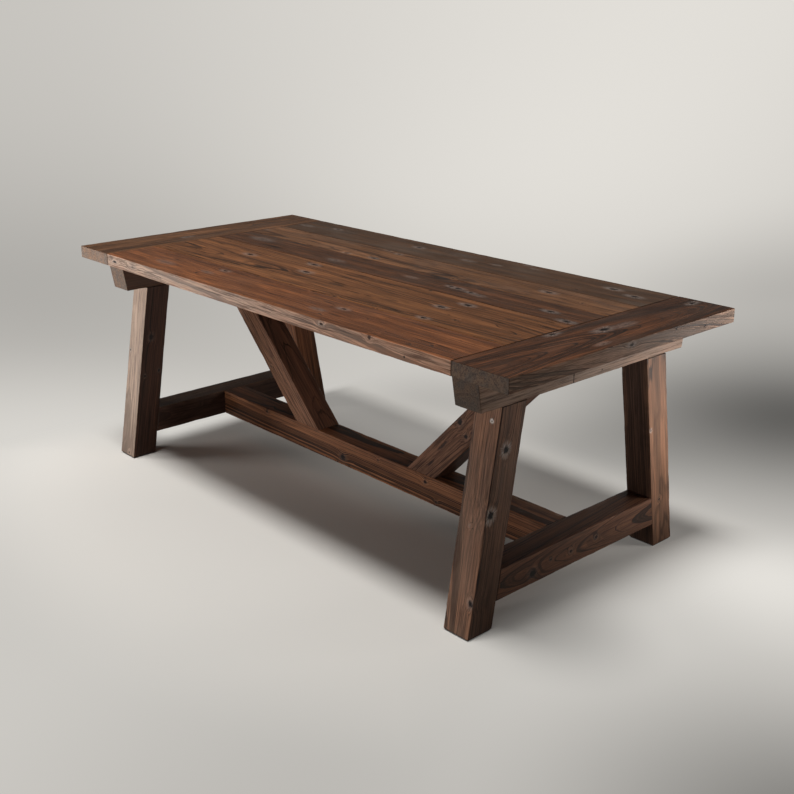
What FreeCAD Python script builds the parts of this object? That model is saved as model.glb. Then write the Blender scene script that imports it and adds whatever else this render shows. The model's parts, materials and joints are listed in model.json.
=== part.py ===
# Trestle dining table in planked timber: five planks between two breadboard ends, carried by
# two splayed trestles that a low stretcher and two slanting braces tie together.
# Millimetres. +X runs to the table's right end, +Y to its back, +Z up from the floor, and the
# origin lies on the floor under the middle of the tabletop.
import FreeCAD, Part
import os
import re

import Sketcher

# Driving sizes in millimetres, angles in degrees
SIZES = {
    # Tabletop
    "top_length": 2065,
    "table_height": 762,
    "top_thickness": 42,
    "breadboard_width": 190,
    "plank_width_1": 193,
    "plank_width_2": 271,
    "plank_width_3": 149,
    "plank_width_4": 150,
    "plank_width_5": 187,
    "board_arris": 1.5,
    # Joints inside the tabletop
    "tongue_thickness": 16,
    "tongue_length": 30,
    "groove_stop": 30,
    "groove_end_room": 3,
    "spline_thickness": 8,
    "spline_width": 26,
    "peg_width": 10,
    "peg_bite": 4,
    "peg_slot_room": 4,
    # Trestles
    "timber_width": 92,
    "timber_arris": 2.5,
    "cap_height": 94,
    "cap_inset": 35,
    "splay_angle": 9.8,
    "foot_inset": 20,
    "leg_depth": 91,
    "rail_bottom": 80,
    "rail_height": 91,
    # Stretcher and braces
    "stretcher_width": 94,
    "brace_depth": 91,
    "brace_angle": 45.8,
    "brace_head_land": 47.5,
    # Joints of the frame
    "tenon_thickness": 30,
    "tenon_length": 45,
    "tenon_shoulder": 14,
    "stub_length": 20,
    "tenon_peg_width": 14,
    "tenon_peg_cover": 21,
    "fit_clearance": 0.2,
    # Hexagon wood screws and their washers
    "screw_diameter": 8,
    "screw_hole_room": 1,
    "screw_head_across": 13,
    "screw_head_height": 5.5,
    "washer_diameter": 21,
    "washer_thickness": 1.8,
    "counterbore_room": 4,
    "counterbore_depth": 28,
    "cap_screw_bite": 24,
    "cap_screw_wall": 8,
    "cap_screw_edge": 20,
    "cap_screw_end": 55,
    "foot_screw_bite": 33,
    "head_screw_bite": 46,
    "head_screw_drop": 40,
    "head_screw_grip": 60,
    # Pads under the feet
    "pad_height": 4,
    "pad_inset": 4,
    # How far a cut runs past the wood that it opens
    "overrun": 10,
}

# Where a brace's foot screw stands along the foot, from its inner corner
FOOT_SCREW_SHARE = 0.58

SIDES = {"left": -1, "right": 1}
ROWS = {"front": -1, "back": 1}
PLANK_COUNT = 5
MIDDLE_PLANK = 3

# Places that several pieces share, as formulas in the sizes
TOP_WIDTH = "(plank_width_1 + plank_width_2 + plank_width_3 + plank_width_4 + plank_width_5)"
UNDERSIDE = "(table_height - top_thickness)"
MID_TOP = "(table_height - top_thickness / 2)"
SEAM_X = "(top_length / 2 - breadboard_width)"
PEG_X = f"({SEAM_X} + tongue_length / 2)"
PEG_LENGTH = "(top_thickness / 2 + tongue_thickness / 2 + peg_bite)"
PEG_HOLE = "(peg_width / 2 + fit_clearance)"
CAP_SCREW_X = f"({SEAM_X} + tongue_length + cap_screw_wall)"
TRESTLE_OUT = f"({CAP_SCREW_X} + cap_screw_edge)"
TRESTLE_IN = f"({TRESTLE_OUT} - timber_width)"
TRESTLE_MID = f"({TRESTLE_OUT} - timber_width / 2)"
CAP_BOTTOM = f"({UNDERSIDE} - cap_height)"
CAP_END = f"({TOP_WIDTH} / 2 - cap_inset)"
CAP_SCREW_ROWS = (f"-({CAP_END} - cap_screw_end)", "0", f"({CAP_END} - cap_screw_end)")
CAP_SEAT = f"({CAP_BOTTOM} + counterbore_depth)"
CAP_SCREW_LENGTH = "(cap_height - counterbore_depth + cap_screw_bite)"
LEG_ACROSS = "(leg_depth / cos(splay_angle))"
RAIL_TOP = "(rail_bottom + rail_height)"
TENON_LOW = "(rail_bottom + tenon_shoulder)"
TENON_HIGH = f"({RAIL_TOP} - tenon_shoulder)"
TENON_PEG_X = f"({TRESTLE_IN} + tenon_length / 2)"
TENON_PEG_LENGTH = "(rail_height - tenon_peg_cover)"
TENON_PEG_HOLE = "(tenon_peg_width / 2 + fit_clearance)"
BRACE_ACROSS = "(brace_depth / sin(brace_angle))"
BRACE_HEAD = f"({TRESTLE_IN} - brace_head_land)"
BRACE_FOOT = f"({BRACE_HEAD} - ({UNDERSIDE} - {RAIL_TOP}) / tan(brace_angle))"
BRACE_FOOT_END = f"({BRACE_FOOT} + {BRACE_ACROSS})"
FOOT_SCREW_X = f"({BRACE_FOOT} + {BRACE_ACROSS} * {FOOT_SCREW_SHARE})"
FOOT_SEAT = "(rail_bottom + counterbore_depth)"
FOOT_SCREW_LENGTH = "(rail_height - counterbore_depth + foot_screw_bite)"
HEAD_SCREW_Z = f"({UNDERSIDE} - head_screw_drop)"
HEAD_SEAT = f"({TRESTLE_IN} - head_screw_grip)"
HEAD_SCREW_LENGTH = "(head_screw_grip + head_screw_bite)"
COUNTERBORE = "((washer_diameter + counterbore_room) / 2)"
SLIP_TENON = "(tenon_thickness + 2 * fit_clearance)"
SLIP_SCREW = "((screw_diameter + fit_clearance) / 2)"
LOOSE_SCREW = "((screw_diameter + screw_hole_room) / 2)"


def leg_outer(height):
    """Distance of a leg's outer face from the middle of the table, at a height."""
    return f"({TOP_WIDTH} / 2 - foot_inset - ({height}) * tan(splay_angle))"


def leg_inner(height):
    """Distance of a leg's inner face from the middle of the table, at a height."""
    return f"({leg_outer(height)} - {LEG_ACROSS})"


def brace_lower_z(distance):
    """Height of a brace's lower face, at a distance from the middle of the table."""
    return f"({RAIL_TOP} + ({distance} - {BRACE_FOOT_END}) * tan(brace_angle))"


def plank_edge(index):
    """Place across the table of the edge after so many planks, counted from the front."""
    widths = "".join(f" + plank_width_{number}" for number in range(1, index + 1))
    return f"(-{TOP_WIDTH} / 2{widths})"


def plank_middle(index):
    """Place across the table of a plank's middle."""
    return f"(({plank_edge(index - 1)} + {plank_edge(index)}) / 2)"


# Document and its sheet of sizes
doc = FreeCAD.newDocument("trestle_table")
sheet = doc.addObject("Spreadsheet::Sheet", "Sizes")
for row, (alias, number) in enumerate(SIZES.items(), start=1):
    sheet.set(f"A{row}", alias)
    sheet.set(f"B{row}", str(number))
    sheet.setAlias(f"B{row}", alias)
doc.recompute()

# Finished sub-parts, by node name
nodes = {}


def formula(text):
    """Point the size names in a formula at the sheet's cells."""
    return re.sub(r"\b[a-z]\w*\b", lambda word: "Sizes." + word[0] if word[0] in SIZES else word[0], text)


def measure(text):
    """Work out a formula's present value."""
    return float(sheet.evalExpression(formula(text)))


def new_body(name):
    """Start a sub-part that is made like a workpiece, from sketches."""
    body = doc.addObject("PartDesign::Body", name)
    body.Label = name
    nodes[name] = body
    return body


def new_sketch(body, role, offset="0"):
    """Lay a sketch on one of the body's own planes, or parallel to it at an offset."""
    sketch = body.newObject("Sketcher::SketchObject", f"{body.Name}_sketch")
    plane = next(item for item in body.Origin.OriginFeatures if item.Role == role)
    sketch.AttachmentSupport = [(plane, "")]
    sketch.MapMode = "FlatFace"
    sketch.setExpression("AttachmentOffset.Base.z", formula(offset))
    return sketch


def fix_point(sketch, edge, end, point):
    """Hold a point of the sketch at two distances from the sketch's origin."""
    for kind, text in zip(("DistanceX", "DistanceY"), point):
        constraint = Sketcher.Constraint(kind, -1, 1, edge, end, measure(text))
        index = sketch.addConstraint(constraint)
        sketch.setExpression(f"Constraints[{index}]", formula(text))


def draw_outline(sketch, points):
    """Draw a closed outline of straight edges, with every corner held by formulas."""
    first = sketch.GeometryCount
    corners = [FreeCAD.Vector(measure(u), measure(v)) for u, v in points]
    for start, end in zip(corners, corners[1:] + corners[:1]):
        sketch.addGeometry(Part.LineSegment(start, end))
    for index, point in enumerate(points):
        following = first + (index + 1) % len(points)
        sketch.addConstraint(Sketcher.Constraint("Coincident", first + index, 2, following, 1))
        fix_point(sketch, first + index, 1, point)


def draw_box(sketch, low_u, high_u, low_v, high_v):
    """Draw a rectangle between two pairs of formulas."""
    draw_outline(sketch, [(low_u, low_v), (high_u, low_v), (high_u, high_v), (low_u, high_v)])


def draw_square(sketch, centre, half, room="0"):
    """Draw a square round a centre, lengthened both ways across by some room."""
    u, v = centre
    draw_box(sketch, f"{u} - {half}", f"{u} + {half}", f"{v} - {half} - {room}", f"{v} + {half} + {room}")


def draw_circle(sketch, centre, radius):
    """Draw a circle, with its centre and radius held by formulas."""
    middle = FreeCAD.Vector(measure(centre[0]), measure(centre[1]))
    edge = sketch.addGeometry(Part.Circle(middle, FreeCAD.Vector(0, 0, 1), measure(radius)))
    fix_point(sketch, edge, 3, centre)
    index = sketch.addConstraint(Sketcher.Constraint("Radius", edge, measure(radius)))
    sketch.setExpression(f"Constraints[{index}]", formula(radius))


def pad(body, sketch, thickness):
    """Give a sketch thickness, half to each side of its plane."""
    feature = body.newObject("PartDesign::Pad", f"{body.Name}_pad")
    feature.Profile = sketch
    feature.SideType = "Symmetric"
    feature.setExpression("Length", formula(thickness))
    doc.recompute()
    return feature


def pocket(body, sketch, depth, towards=0):
    """Cut a sketch out of the body: both ways from its plane, or 1 along its normal, -1 against it."""
    before = body.Shape.Volume
    feature = body.newObject("PartDesign::Pocket", f"{body.Name}_pocket")
    feature.Profile = sketch
    feature.SideType = "One side" if towards else "Symmetric"
    feature.Reversed = towards > 0
    feature.setExpression("Length", formula(depth))
    doc.recompute()
    if body.Shape.Volume >= before:
        raise ValueError(f"{feature.Name} cuts nothing")
    return feature


def ease(body, feature, size, wanted):
    """Chamfer the straight edges of a feature for which wanted says yes."""
    names = [f"Edge{number}" for number, edge in enumerate(feature.Shape.Edges, start=1) if wanted(edge)]
    chamfer = body.newObject("PartDesign::Chamfer", f"{body.Name}_arris")
    chamfer.Base = (feature, names)
    chamfer.setExpression("Size", formula(size))
    doc.recompute()


def runs_along(direction):
    """Make a test for edges that lie along a direction."""
    axis = FreeCAD.Vector(*direction).normalize()
    return lambda edge: axis.cross(edge.tangentAt(edge.FirstParameter)).Length < 1e-6


def is_upper(edge):
    """Tell an edge in the tabletop's upper face."""
    return abs(edge.CenterOfMass.z - measure("table_height")) < measure("fit_clearance")


def place(item, point, turn=None):
    """Bind an item's place to three formulas, after an optional turn."""
    if turn:
        item.Placement = FreeCAD.Placement(FreeCAD.Vector(), turn)
    for axis, text in zip("xyz", point):
        item.setExpression(f"Placement.Base.{axis}", formula(text))


def primitive(kind, name, sizes, point, turn=None):
    """Make a plain solid with its sizes and place bound to formulas."""
    item = doc.addObject(kind, name)
    for key, text in sizes.items():
        item.setExpression(key, formula(text))
    place(item, point, turn)
    return item


def square_peg(name, width, length, foot):
    """Make an upright peg of square section that stands on the middle of its foot."""
    x, y, z = foot
    return primitive("Part::Box", name, {"Length": width, "Width": width, "Height": length},
                     (f"{x} - {width} / 2", f"{y} - {width} / 2", z))


def group(name, items):
    """Gather like pieces into one sub-part of separate solids."""
    compound = doc.addObject("Part::Compound", name)
    compound.Label = name
    compound.Links = items
    nodes[name] = compound


def along(point, axis, distance):
    """Move a point of formulas along an axis of whole numbers."""
    return [f"{text} + {step} * ({distance})" for text, step in zip(point, axis)]


def wood_screw(name, seat, axis, length):
    """Make a hexagon wood screw whose washer lies on a seat and whose shank points along an axis."""
    turn = FreeCAD.Rotation(FreeCAD.Vector(0, 0, 1), FreeCAD.Vector(*axis))
    head = primitive("Part::Prism", f"{name}_head",
                     {"Circumradius": "screw_head_across / 2 / cos(30)", "Height": "screw_head_height"},
                     along(seat, axis, "-washer_thickness - screw_head_height"), turn)
    shank = primitive("Part::Cylinder", f"{name}_shank",
                      {"Radius": "screw_diameter / 2", "Height": f"{length} + washer_thickness"},
                      along(seat, axis, "-washer_thickness"), turn)
    screw = doc.addObject("Part::Fuse", name)
    screw.Base = head
    screw.Tool = shank
    return screw


def washer(name, seat, axis):
    """Make the washer that lies on a screw's seat."""
    turn = FreeCAD.Rotation(FreeCAD.Vector(0, 0, 1), FreeCAD.Vector(*axis))
    start = along(seat, axis, "-washer_thickness")
    disc = primitive("Part::Cylinder", f"{name}_disc",
                     {"Radius": "washer_diameter / 2", "Height": "washer_thickness"}, start, turn)
    hole = primitive("Part::Cylinder", f"{name}_hole",
                     {"Radius": SLIP_SCREW, "Height": "washer_thickness"}, start, turn)
    ring = doc.addObject("Part::Cut", name)
    ring.Base = disc
    ring.Tool = hole
    return ring


def screws_and_washers(name, seats, axes, length):
    """Make a node of screws and a node of their washers, one of each to a seat."""
    pairs = list(zip(seats, axes))
    group(f"{name}_screws", [wood_screw(f"{name}_screw_{number}", seat, axis, length)
                             for number, (seat, axis) in enumerate(pairs, start=1)])
    group(f"{name}_washers", [washer(f"{name}_washer_{number}", seat, axis)
                              for number, (seat, axis) in enumerate(pairs, start=1)])


# Planks of the top, each with a tongue on both ends and grooves for the splines
def make_plank(number):
    """Make one plank, counted from the front."""
    body = new_body(f"top_plank_{number}")
    near = plank_edge(number - 1)
    far = plank_edge(number)
    section = new_sketch(body, "YZ_Plane")
    draw_box(section, near, far, UNDERSIDE, "table_height")
    board = pad(body, section, f"2 * ({SEAM_X} + tongue_length)")
    lengthwise = runs_along((1, 0, 0))
    ease(body, board, "board_arris", lambda edge: lengthwise(edge) and is_upper(edge))

    grooves = new_sketch(body, "YZ_Plane")
    low = f"{MID_TOP} - spline_thickness / 2 - fit_clearance"
    high = f"{MID_TOP} + spline_thickness / 2 + fit_clearance"
    depth = "(spline_width / 2 + fit_clearance)"
    if number > 1:
        draw_box(grooves, f"{near} - overrun", f"{near} + {depth}", low, high)
    if number < PLANK_COUNT:
        draw_box(grooves, f"{far} - {depth}", f"{far} + overrun", low, high)
    pocket(body, grooves, "top_length")

    rebates = new_sketch(body, "XZ_Plane")
    for side in SIDES.values():
        start = f"{side} * {SEAM_X}"
        end = f"{side} * ({SEAM_X} + tongue_length + overrun)"
        draw_box(rebates, start, end, f"{MID_TOP} + tongue_thickness / 2", "table_height + overrun")
        draw_box(rebates, start, end, f"{UNDERSIDE} - overrun", f"{MID_TOP} - tongue_thickness / 2")
    pocket(body, rebates, f"2 * {TOP_WIDTH}")

    outer_edges = {1: (near, 1), PLANK_COUNT: (far, -1)}
    if number in outer_edges:
        edge, inwards = outer_edges[number]
        notches = new_sketch(body, "XY_Plane", MID_TOP)
        for side in SIDES.values():
            draw_box(notches, f"{side} * {SEAM_X}", f"{side} * ({SEAM_X} + tongue_length + overrun)",
                     f"{edge} - {inwards} * overrun", f"{edge} + {inwards} * groove_stop")
        pocket(body, notches, "top_thickness")

    slots = new_sketch(body, "XY_Plane", MID_TOP)
    room = "0" if number == MIDDLE_PLANK else "peg_slot_room"
    for side in SIDES.values():
        draw_square(slots, (f"{side} * {PEG_X}", plank_middle(number)), PEG_HOLE, room)
    pocket(body, slots, "top_thickness")


# Loose splines in the seams between the planks
def make_spline(number):
    """Make the spline in one seam, counted from the front."""
    name = f"seam_spline_{number}"
    spline = primitive("Part::Box", name,
                       {"Length": f"2 * ({SEAM_X} - fit_clearance)", "Width": "spline_width",
                        "Height": "spline_thickness"},
                       (f"-{SEAM_X} + fit_clearance", f"{plank_edge(number)} - spline_width / 2",
                        f"{MID_TOP} - spline_thickness / 2"))
    nodes[name] = spline


# Breadboard ends, grooved for the planks' tongues
def make_breadboard(side_name, side):
    """Make the board that closes one end of the top, with its pegs."""
    body = new_body(f"breadboard_{side_name}")
    section = new_sketch(body, "XZ_Plane")
    draw_box(section, f"{side} * {SEAM_X}", f"{side} * top_length / 2", UNDERSIDE, "table_height")
    board = pad(body, section, TOP_WIDTH)
    crosswise = runs_along((0, 1, 0))
    ease(body, board, "board_arris", lambda edge: crosswise(edge) and is_upper(edge))

    groove = new_sketch(body, "XZ_Plane")
    draw_box(groove, f"{side} * ({SEAM_X} - overrun)",
             f"{side} * ({SEAM_X} + tongue_length + fit_clearance)",
             f"{MID_TOP} - tongue_thickness / 2 - fit_clearance",
             f"{MID_TOP} + tongue_thickness / 2 + fit_clearance")
    pocket(body, groove, f"{TOP_WIDTH} - 2 * groove_stop + 2 * groove_end_room")

    peg_holes = new_sketch(body, "XY_Plane", UNDERSIDE)
    for number in range(1, PLANK_COUNT + 1):
        draw_square(peg_holes, (f"{side} * {PEG_X}", plank_middle(number)), PEG_HOLE)
    pocket(body, peg_holes, f"{PEG_LENGTH} + fit_clearance", towards=1)

    screw_holes = new_sketch(body, "XY_Plane", UNDERSIDE)
    for place_y in CAP_SCREW_ROWS:
        draw_circle(screw_holes, (f"{side} * {CAP_SCREW_X}", place_y), SLIP_SCREW)
    pocket(body, screw_holes, "cap_screw_bite + fit_clearance", towards=1)

    group(f"breadboard_pegs_{side_name}",
          [square_peg(f"breadboard_peg_{side_name}_{number}", "peg_width", PEG_LENGTH,
                      (f"{side} * {PEG_X}", plank_middle(number), UNDERSIDE))
           for number in range(1, PLANK_COUNT + 1)])


# Trestle caps under the top, mortised for the legs
def make_cap(side_name, side):
    """Make one cap with its screws."""
    body = new_body(f"cap_{side_name}")
    outline = new_sketch(body, "YZ_Plane", f"{side} * {TRESTLE_MID}")
    slant = "cap_height * tan(splay_angle)"
    draw_outline(outline, [(f"-({CAP_END} - {slant})", CAP_BOTTOM), (f"{CAP_END} - {slant}", CAP_BOTTOM),
                           (CAP_END, UNDERSIDE), (f"-{CAP_END}", UNDERSIDE)])
    timber = pad(body, outline, "timber_width")
    ease(body, timber, "timber_arris", runs_along((0, 1, 0)))

    mortises = new_sketch(body, "YZ_Plane", f"{side} * {TRESTLE_MID}")
    low = f"{CAP_BOTTOM} - overrun"
    high = f"{CAP_BOTTOM} + tenon_length + fit_clearance"
    room = "tenon_shoulder - fit_clearance"
    for row in ROWS.values():
        draw_outline(mortises, [(f"{row} * ({leg_outer(low)} - ({room}))", low),
                                (f"{row} * ({leg_outer(high)} - ({room}))", high),
                                (f"{row} * ({leg_inner(high)} + {room})", high),
                                (f"{row} * ({leg_inner(low)} + {room})", low)])
    pocket(body, mortises, SLIP_TENON)

    places = [(f"{side} * {CAP_SCREW_X}", place_y) for place_y in CAP_SCREW_ROWS]
    for radius, depth in ((COUNTERBORE, "counterbore_depth"), (LOOSE_SCREW, "cap_height")):
        holes = new_sketch(body, "XY_Plane", CAP_BOTTOM)
        for centre in places:
            draw_circle(holes, centre, radius)
        pocket(body, holes, depth, towards=1)

    pilot = new_sketch(body, "YZ_Plane", f"{side} * {TRESTLE_IN}")
    draw_circle(pilot, ("0", HEAD_SCREW_Z), SLIP_SCREW)
    pocket(body, pilot, "head_screw_bite + fit_clearance", towards=side)

    seats = [(x, y, CAP_SEAT) for x, y in places]
    screws_and_washers(f"cap_{side_name}", seats, [(0, 0, 1)] * len(seats), CAP_SCREW_LENGTH)


# Splayed legs with a slanted tenon on top and a mortise for the rail
def make_leg(row_name, row, side_name, side):
    """Make one leg and the pad under its foot."""
    body = new_body(f"leg_{row_name}_{side_name}")
    outline = new_sketch(body, "YZ_Plane", f"{side} * {TRESTLE_MID}")
    corners = [(leg_outer, "pad_height"), (leg_outer, CAP_BOTTOM),
               (leg_inner, CAP_BOTTOM), (leg_inner, "pad_height")]
    draw_outline(outline, [(f"{row} * {face(height)}", height) for face, height in corners])
    timber = pad(body, outline, "timber_width")
    lean = measure("tan(splay_angle)")
    ease(body, timber, "timber_arris", runs_along((0, -row * lean, 1)))

    tenon = new_sketch(body, "YZ_Plane", f"{side} * {TRESTLE_MID}")
    tip = f"({CAP_BOTTOM} + tenon_length)"
    draw_outline(tenon, [(f"{row} * ({leg_outer(CAP_BOTTOM)} - tenon_shoulder)", CAP_BOTTOM),
                         (f"{row} * ({leg_outer(tip)} - tenon_shoulder)", tip),
                         (f"{row} * ({leg_inner(tip)} + tenon_shoulder)", tip),
                         (f"{row} * ({leg_inner(CAP_BOTTOM)} + tenon_shoulder)", CAP_BOTTOM)])
    pad(body, tenon, "tenon_thickness")

    mortise = new_sketch(body, "YZ_Plane", f"{side} * {TRESTLE_MID}")
    low = f"({TENON_LOW} - fit_clearance)"
    high = f"({TENON_HIGH} + fit_clearance)"
    draw_outline(mortise, [(f"{row} * ({leg_inner(low)} - overrun)", low),
                           (f"{row} * ({leg_inner(low)} + tenon_length + fit_clearance)", low),
                           (f"{row} * ({leg_inner(high)} + tenon_length + fit_clearance)", high),
                           (f"{row} * ({leg_inner(high)} - overrun)", high)])
    pocket(body, mortise, SLIP_TENON)

    name = f"foot_pad_{row_name}_{side_name}"
    long = "(timber_width - 2 * pad_inset)"
    wide = f"({LEG_ACROSS} - 2 * pad_inset)"
    middle = f"{row} * ({leg_outer('pad_height')} - {LEG_ACROSS} / 2)"
    nodes[name] = primitive("Part::Box", name, {"Length": long, "Width": wide, "Height": "pad_height"},
                            (f"{side} * {TRESTLE_MID} - {long} / 2", f"{middle} - {wide} / 2", "0"))


# Cross rails between the legs, with slanted shoulders and tenons
def make_rail(side_name, side):
    """Make one rail."""
    body = new_body(f"rail_{side_name}")
    outline = new_sketch(body, "YZ_Plane", f"{side} * {TRESTLE_MID}")
    draw_outline(outline, [(f"-{leg_inner('rail_bottom')}", "rail_bottom"),
                           (leg_inner("rail_bottom"), "rail_bottom"),
                           (leg_inner(RAIL_TOP), RAIL_TOP), (f"-{leg_inner(RAIL_TOP)}", RAIL_TOP)])
    timber = pad(body, outline, "timber_width")
    ease(body, timber, "timber_arris", runs_along((0, 1, 0)))

    for row in ROWS.values():
        tenon = new_sketch(body, "YZ_Plane", f"{side} * {TRESTLE_MID}")
        draw_outline(tenon, [(f"{row} * {leg_inner(TENON_LOW)}", TENON_LOW),
                             (f"{row} * ({leg_inner(TENON_LOW)} + tenon_length)", TENON_LOW),
                             (f"{row} * ({leg_inner(TENON_HIGH)} + tenon_length)", TENON_HIGH),
                             (f"{row} * {leg_inner(TENON_HIGH)}", TENON_HIGH)])
        pad(body, tenon, "tenon_thickness")

    mortise = new_sketch(body, "XZ_Plane")
    draw_box(mortise, f"{side} * ({TRESTLE_IN} - overrun)",
             f"{side} * ({TRESTLE_IN} + tenon_length + fit_clearance)",
             f"{TENON_LOW} - fit_clearance", f"{TENON_HIGH} + fit_clearance")
    pocket(body, mortise, SLIP_TENON)

    peg_hole = new_sketch(body, "XY_Plane", "rail_bottom")
    draw_square(peg_hole, (f"{side} * {TENON_PEG_X}", "0"), TENON_PEG_HOLE)
    pocket(body, peg_hole, f"{TENON_PEG_LENGTH} + fit_clearance", towards=1)


# Long stretcher, tenoned into both rails and locked by a peg from below
def make_stretcher():
    """Make the stretcher with its pegs and the screws that go up into the braces."""
    body = new_body("stretcher")
    outline = new_sketch(body, "XZ_Plane")
    draw_box(outline, f"-{TRESTLE_IN}", TRESTLE_IN, "rail_bottom", RAIL_TOP)
    timber = pad(body, outline, "stretcher_width")
    ease(body, timber, "timber_arris", runs_along((1, 0, 0)))

    for side in SIDES.values():
        tenon = new_sketch(body, "XZ_Plane")
        draw_box(tenon, f"{side} * {TRESTLE_IN}", f"{side} * ({TRESTLE_IN} + tenon_length)",
                 TENON_LOW, TENON_HIGH)
        pad(body, tenon, "tenon_thickness")

    stubs = new_sketch(body, "XZ_Plane")
    for side in SIDES.values():
        draw_box(stubs, f"{side} * ({BRACE_FOOT} + tenon_shoulder - fit_clearance)",
                 f"{side} * ({BRACE_FOOT_END} - tenon_shoulder + fit_clearance)",
                 f"{RAIL_TOP} - stub_length - fit_clearance", f"{RAIL_TOP} + overrun")
    pocket(body, stubs, SLIP_TENON)

    peg_holes = new_sketch(body, "XY_Plane", "rail_bottom")
    for side in SIDES.values():
        draw_square(peg_holes, (f"{side} * {TENON_PEG_X}", "0"), TENON_PEG_HOLE)
    pocket(body, peg_holes, f"{TENON_PEG_LENGTH} + fit_clearance", towards=1)

    places = [(f"{side} * {FOOT_SCREW_X}", "0") for side in SIDES.values()]
    for radius, depth in ((COUNTERBORE, "counterbore_depth"), (LOOSE_SCREW, "rail_height")):
        holes = new_sketch(body, "XY_Plane", "rail_bottom")
        for centre in places:
            draw_circle(holes, centre, radius)
        pocket(body, holes, depth, towards=1)

    seats = [(x, y, FOOT_SEAT) for x, y in places]
    screws_and_washers("brace_foot", seats, [(0, 0, 1)] * len(seats), FOOT_SCREW_LENGTH)
    group("stretcher_pegs",
          [square_peg(f"stretcher_peg_{side_name}", "tenon_peg_width", TENON_PEG_LENGTH,
                      (f"{side} * {TENON_PEG_X}", "0", "rail_bottom"))
           for side_name, side in SIDES.items()])


# Braces from the stretcher up into the corner of cap and top
def make_brace(side_name, side):
    """Make one brace, cut level at its foot and to the corner at its head."""
    body = new_body(f"brace_{side_name}")
    outline = new_sketch(body, "XZ_Plane")
    draw_outline(outline, [(f"{side} * {BRACE_FOOT}", RAIL_TOP),
                           (f"{side} * {BRACE_FOOT_END}", RAIL_TOP),
                           (f"{side} * {TRESTLE_IN}", brace_lower_z(TRESTLE_IN)),
                           (f"{side} * {TRESTLE_IN}", UNDERSIDE),
                           (f"{side} * {BRACE_HEAD}", UNDERSIDE)])
    timber = pad(body, outline, "stretcher_width")
    rise = measure("tan(brace_angle)")
    ease(body, timber, "timber_arris", runs_along((side, 0, rise)))

    stub = new_sketch(body, "XZ_Plane")
    draw_box(stub, f"{side} * ({BRACE_FOOT} + tenon_shoulder)",
             f"{side} * ({BRACE_FOOT_END} - tenon_shoulder)", f"{RAIL_TOP} - stub_length", RAIL_TOP)
    pad(body, stub, "tenon_thickness")

    pilot = new_sketch(body, "XY_Plane", f"{RAIL_TOP} - stub_length")
    draw_circle(pilot, (f"{side} * {FOOT_SCREW_X}", "0"), SLIP_SCREW)
    pocket(body, pilot, "stub_length + foot_screw_bite + fit_clearance", towards=1)

    for radius, depth, towards in ((COUNTERBORE, BRACE_ACROSS, -side),
                                   (LOOSE_SCREW, "head_screw_grip", side)):
        hole = new_sketch(body, "YZ_Plane", f"{side} * {HEAD_SEAT}")
        draw_circle(hole, ("0", HEAD_SCREW_Z), radius)
        pocket(body, hole, depth, towards=towards)


def make_head_screws():
    """Make the screws that hold the braces' heads to the caps."""
    seats = [(f"{side} * {HEAD_SEAT}", "0", HEAD_SCREW_Z) for side in SIDES.values()]
    axes = [(side, 0, 0) for side in SIDES.values()]
    screws_and_washers("brace_head", seats, axes, HEAD_SCREW_LENGTH)


# Assembly
for plank in range(1, PLANK_COUNT + 1):
    make_plank(plank)
for seam in range(1, PLANK_COUNT):
    make_spline(seam)
for side_name, side in SIDES.items():
    make_breadboard(side_name, side)
    make_cap(side_name, side)
    for row_name, row in ROWS.items():
        make_leg(row_name, row, side_name, side)
    make_rail(side_name, side)
    make_brace(side_name, side)
make_stretcher()
make_head_screws()
doc.recompute()

# Every object is sound before anything is written
for item in doc.Objects:
    if {"Invalid", "Error"} & set(item.State):
        raise ValueError(f"{item.Name} failed: {item.State}")
for name, item in nodes.items():
    if item.Shape.isNull() or not item.Shape.isValid() or not item.Shape.Solids:
        raise ValueError(f"{name} has no sound solid")

os.makedirs("parts", exist_ok=True)
for name, item in nodes.items():
    item.Shape.exportStep(f"parts/{name}.step")
    print(f"{name}: {len(item.Shape.Solids)} solid(s), {item.Shape.Volume / 1000:.1f} cubic centimetres")
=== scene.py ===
"""Trestle dining table in stained softwood, dressed for a plain studio.

The boards and beams are modelled one by one as sawn, worn timbers in the places that the frame gives.
Each has its own cut of wood: growth rings round a pith, knots, nail holes, stain and wear. Some stains and
face tones are painted shade and painted highlights.
"""
import json
import logging
import math
from dataclasses import dataclass, field
from enum import Enum
from typing import ClassVar, NamedTuple, Union

import bmesh
import bpy
from mathutils import Euler, Matrix, Vector, noise


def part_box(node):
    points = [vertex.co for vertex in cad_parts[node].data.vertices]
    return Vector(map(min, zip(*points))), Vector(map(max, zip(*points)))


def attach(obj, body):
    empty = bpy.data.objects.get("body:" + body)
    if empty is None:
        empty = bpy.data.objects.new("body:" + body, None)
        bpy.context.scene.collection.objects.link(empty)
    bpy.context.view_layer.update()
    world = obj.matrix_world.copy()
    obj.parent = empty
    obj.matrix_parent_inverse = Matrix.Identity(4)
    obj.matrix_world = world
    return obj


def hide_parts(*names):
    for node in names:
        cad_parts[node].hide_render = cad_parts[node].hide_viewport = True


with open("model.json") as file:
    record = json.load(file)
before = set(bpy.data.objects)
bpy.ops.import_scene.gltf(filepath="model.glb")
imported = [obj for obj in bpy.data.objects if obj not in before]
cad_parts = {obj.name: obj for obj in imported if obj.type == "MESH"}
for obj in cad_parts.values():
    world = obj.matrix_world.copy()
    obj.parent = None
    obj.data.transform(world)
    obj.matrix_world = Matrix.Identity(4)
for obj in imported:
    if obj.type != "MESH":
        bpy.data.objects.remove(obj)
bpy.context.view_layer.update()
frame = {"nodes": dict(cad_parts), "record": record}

MM = 0.001
UP = Vector((0.0, 0.0, 1.0))
ALONG_Y = (0.0, 0.0, math.pi / 2)
# The height of the table's upper face, in millimetres, where marks on the top lie.
TOP_LEVEL = 762.0
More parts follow.
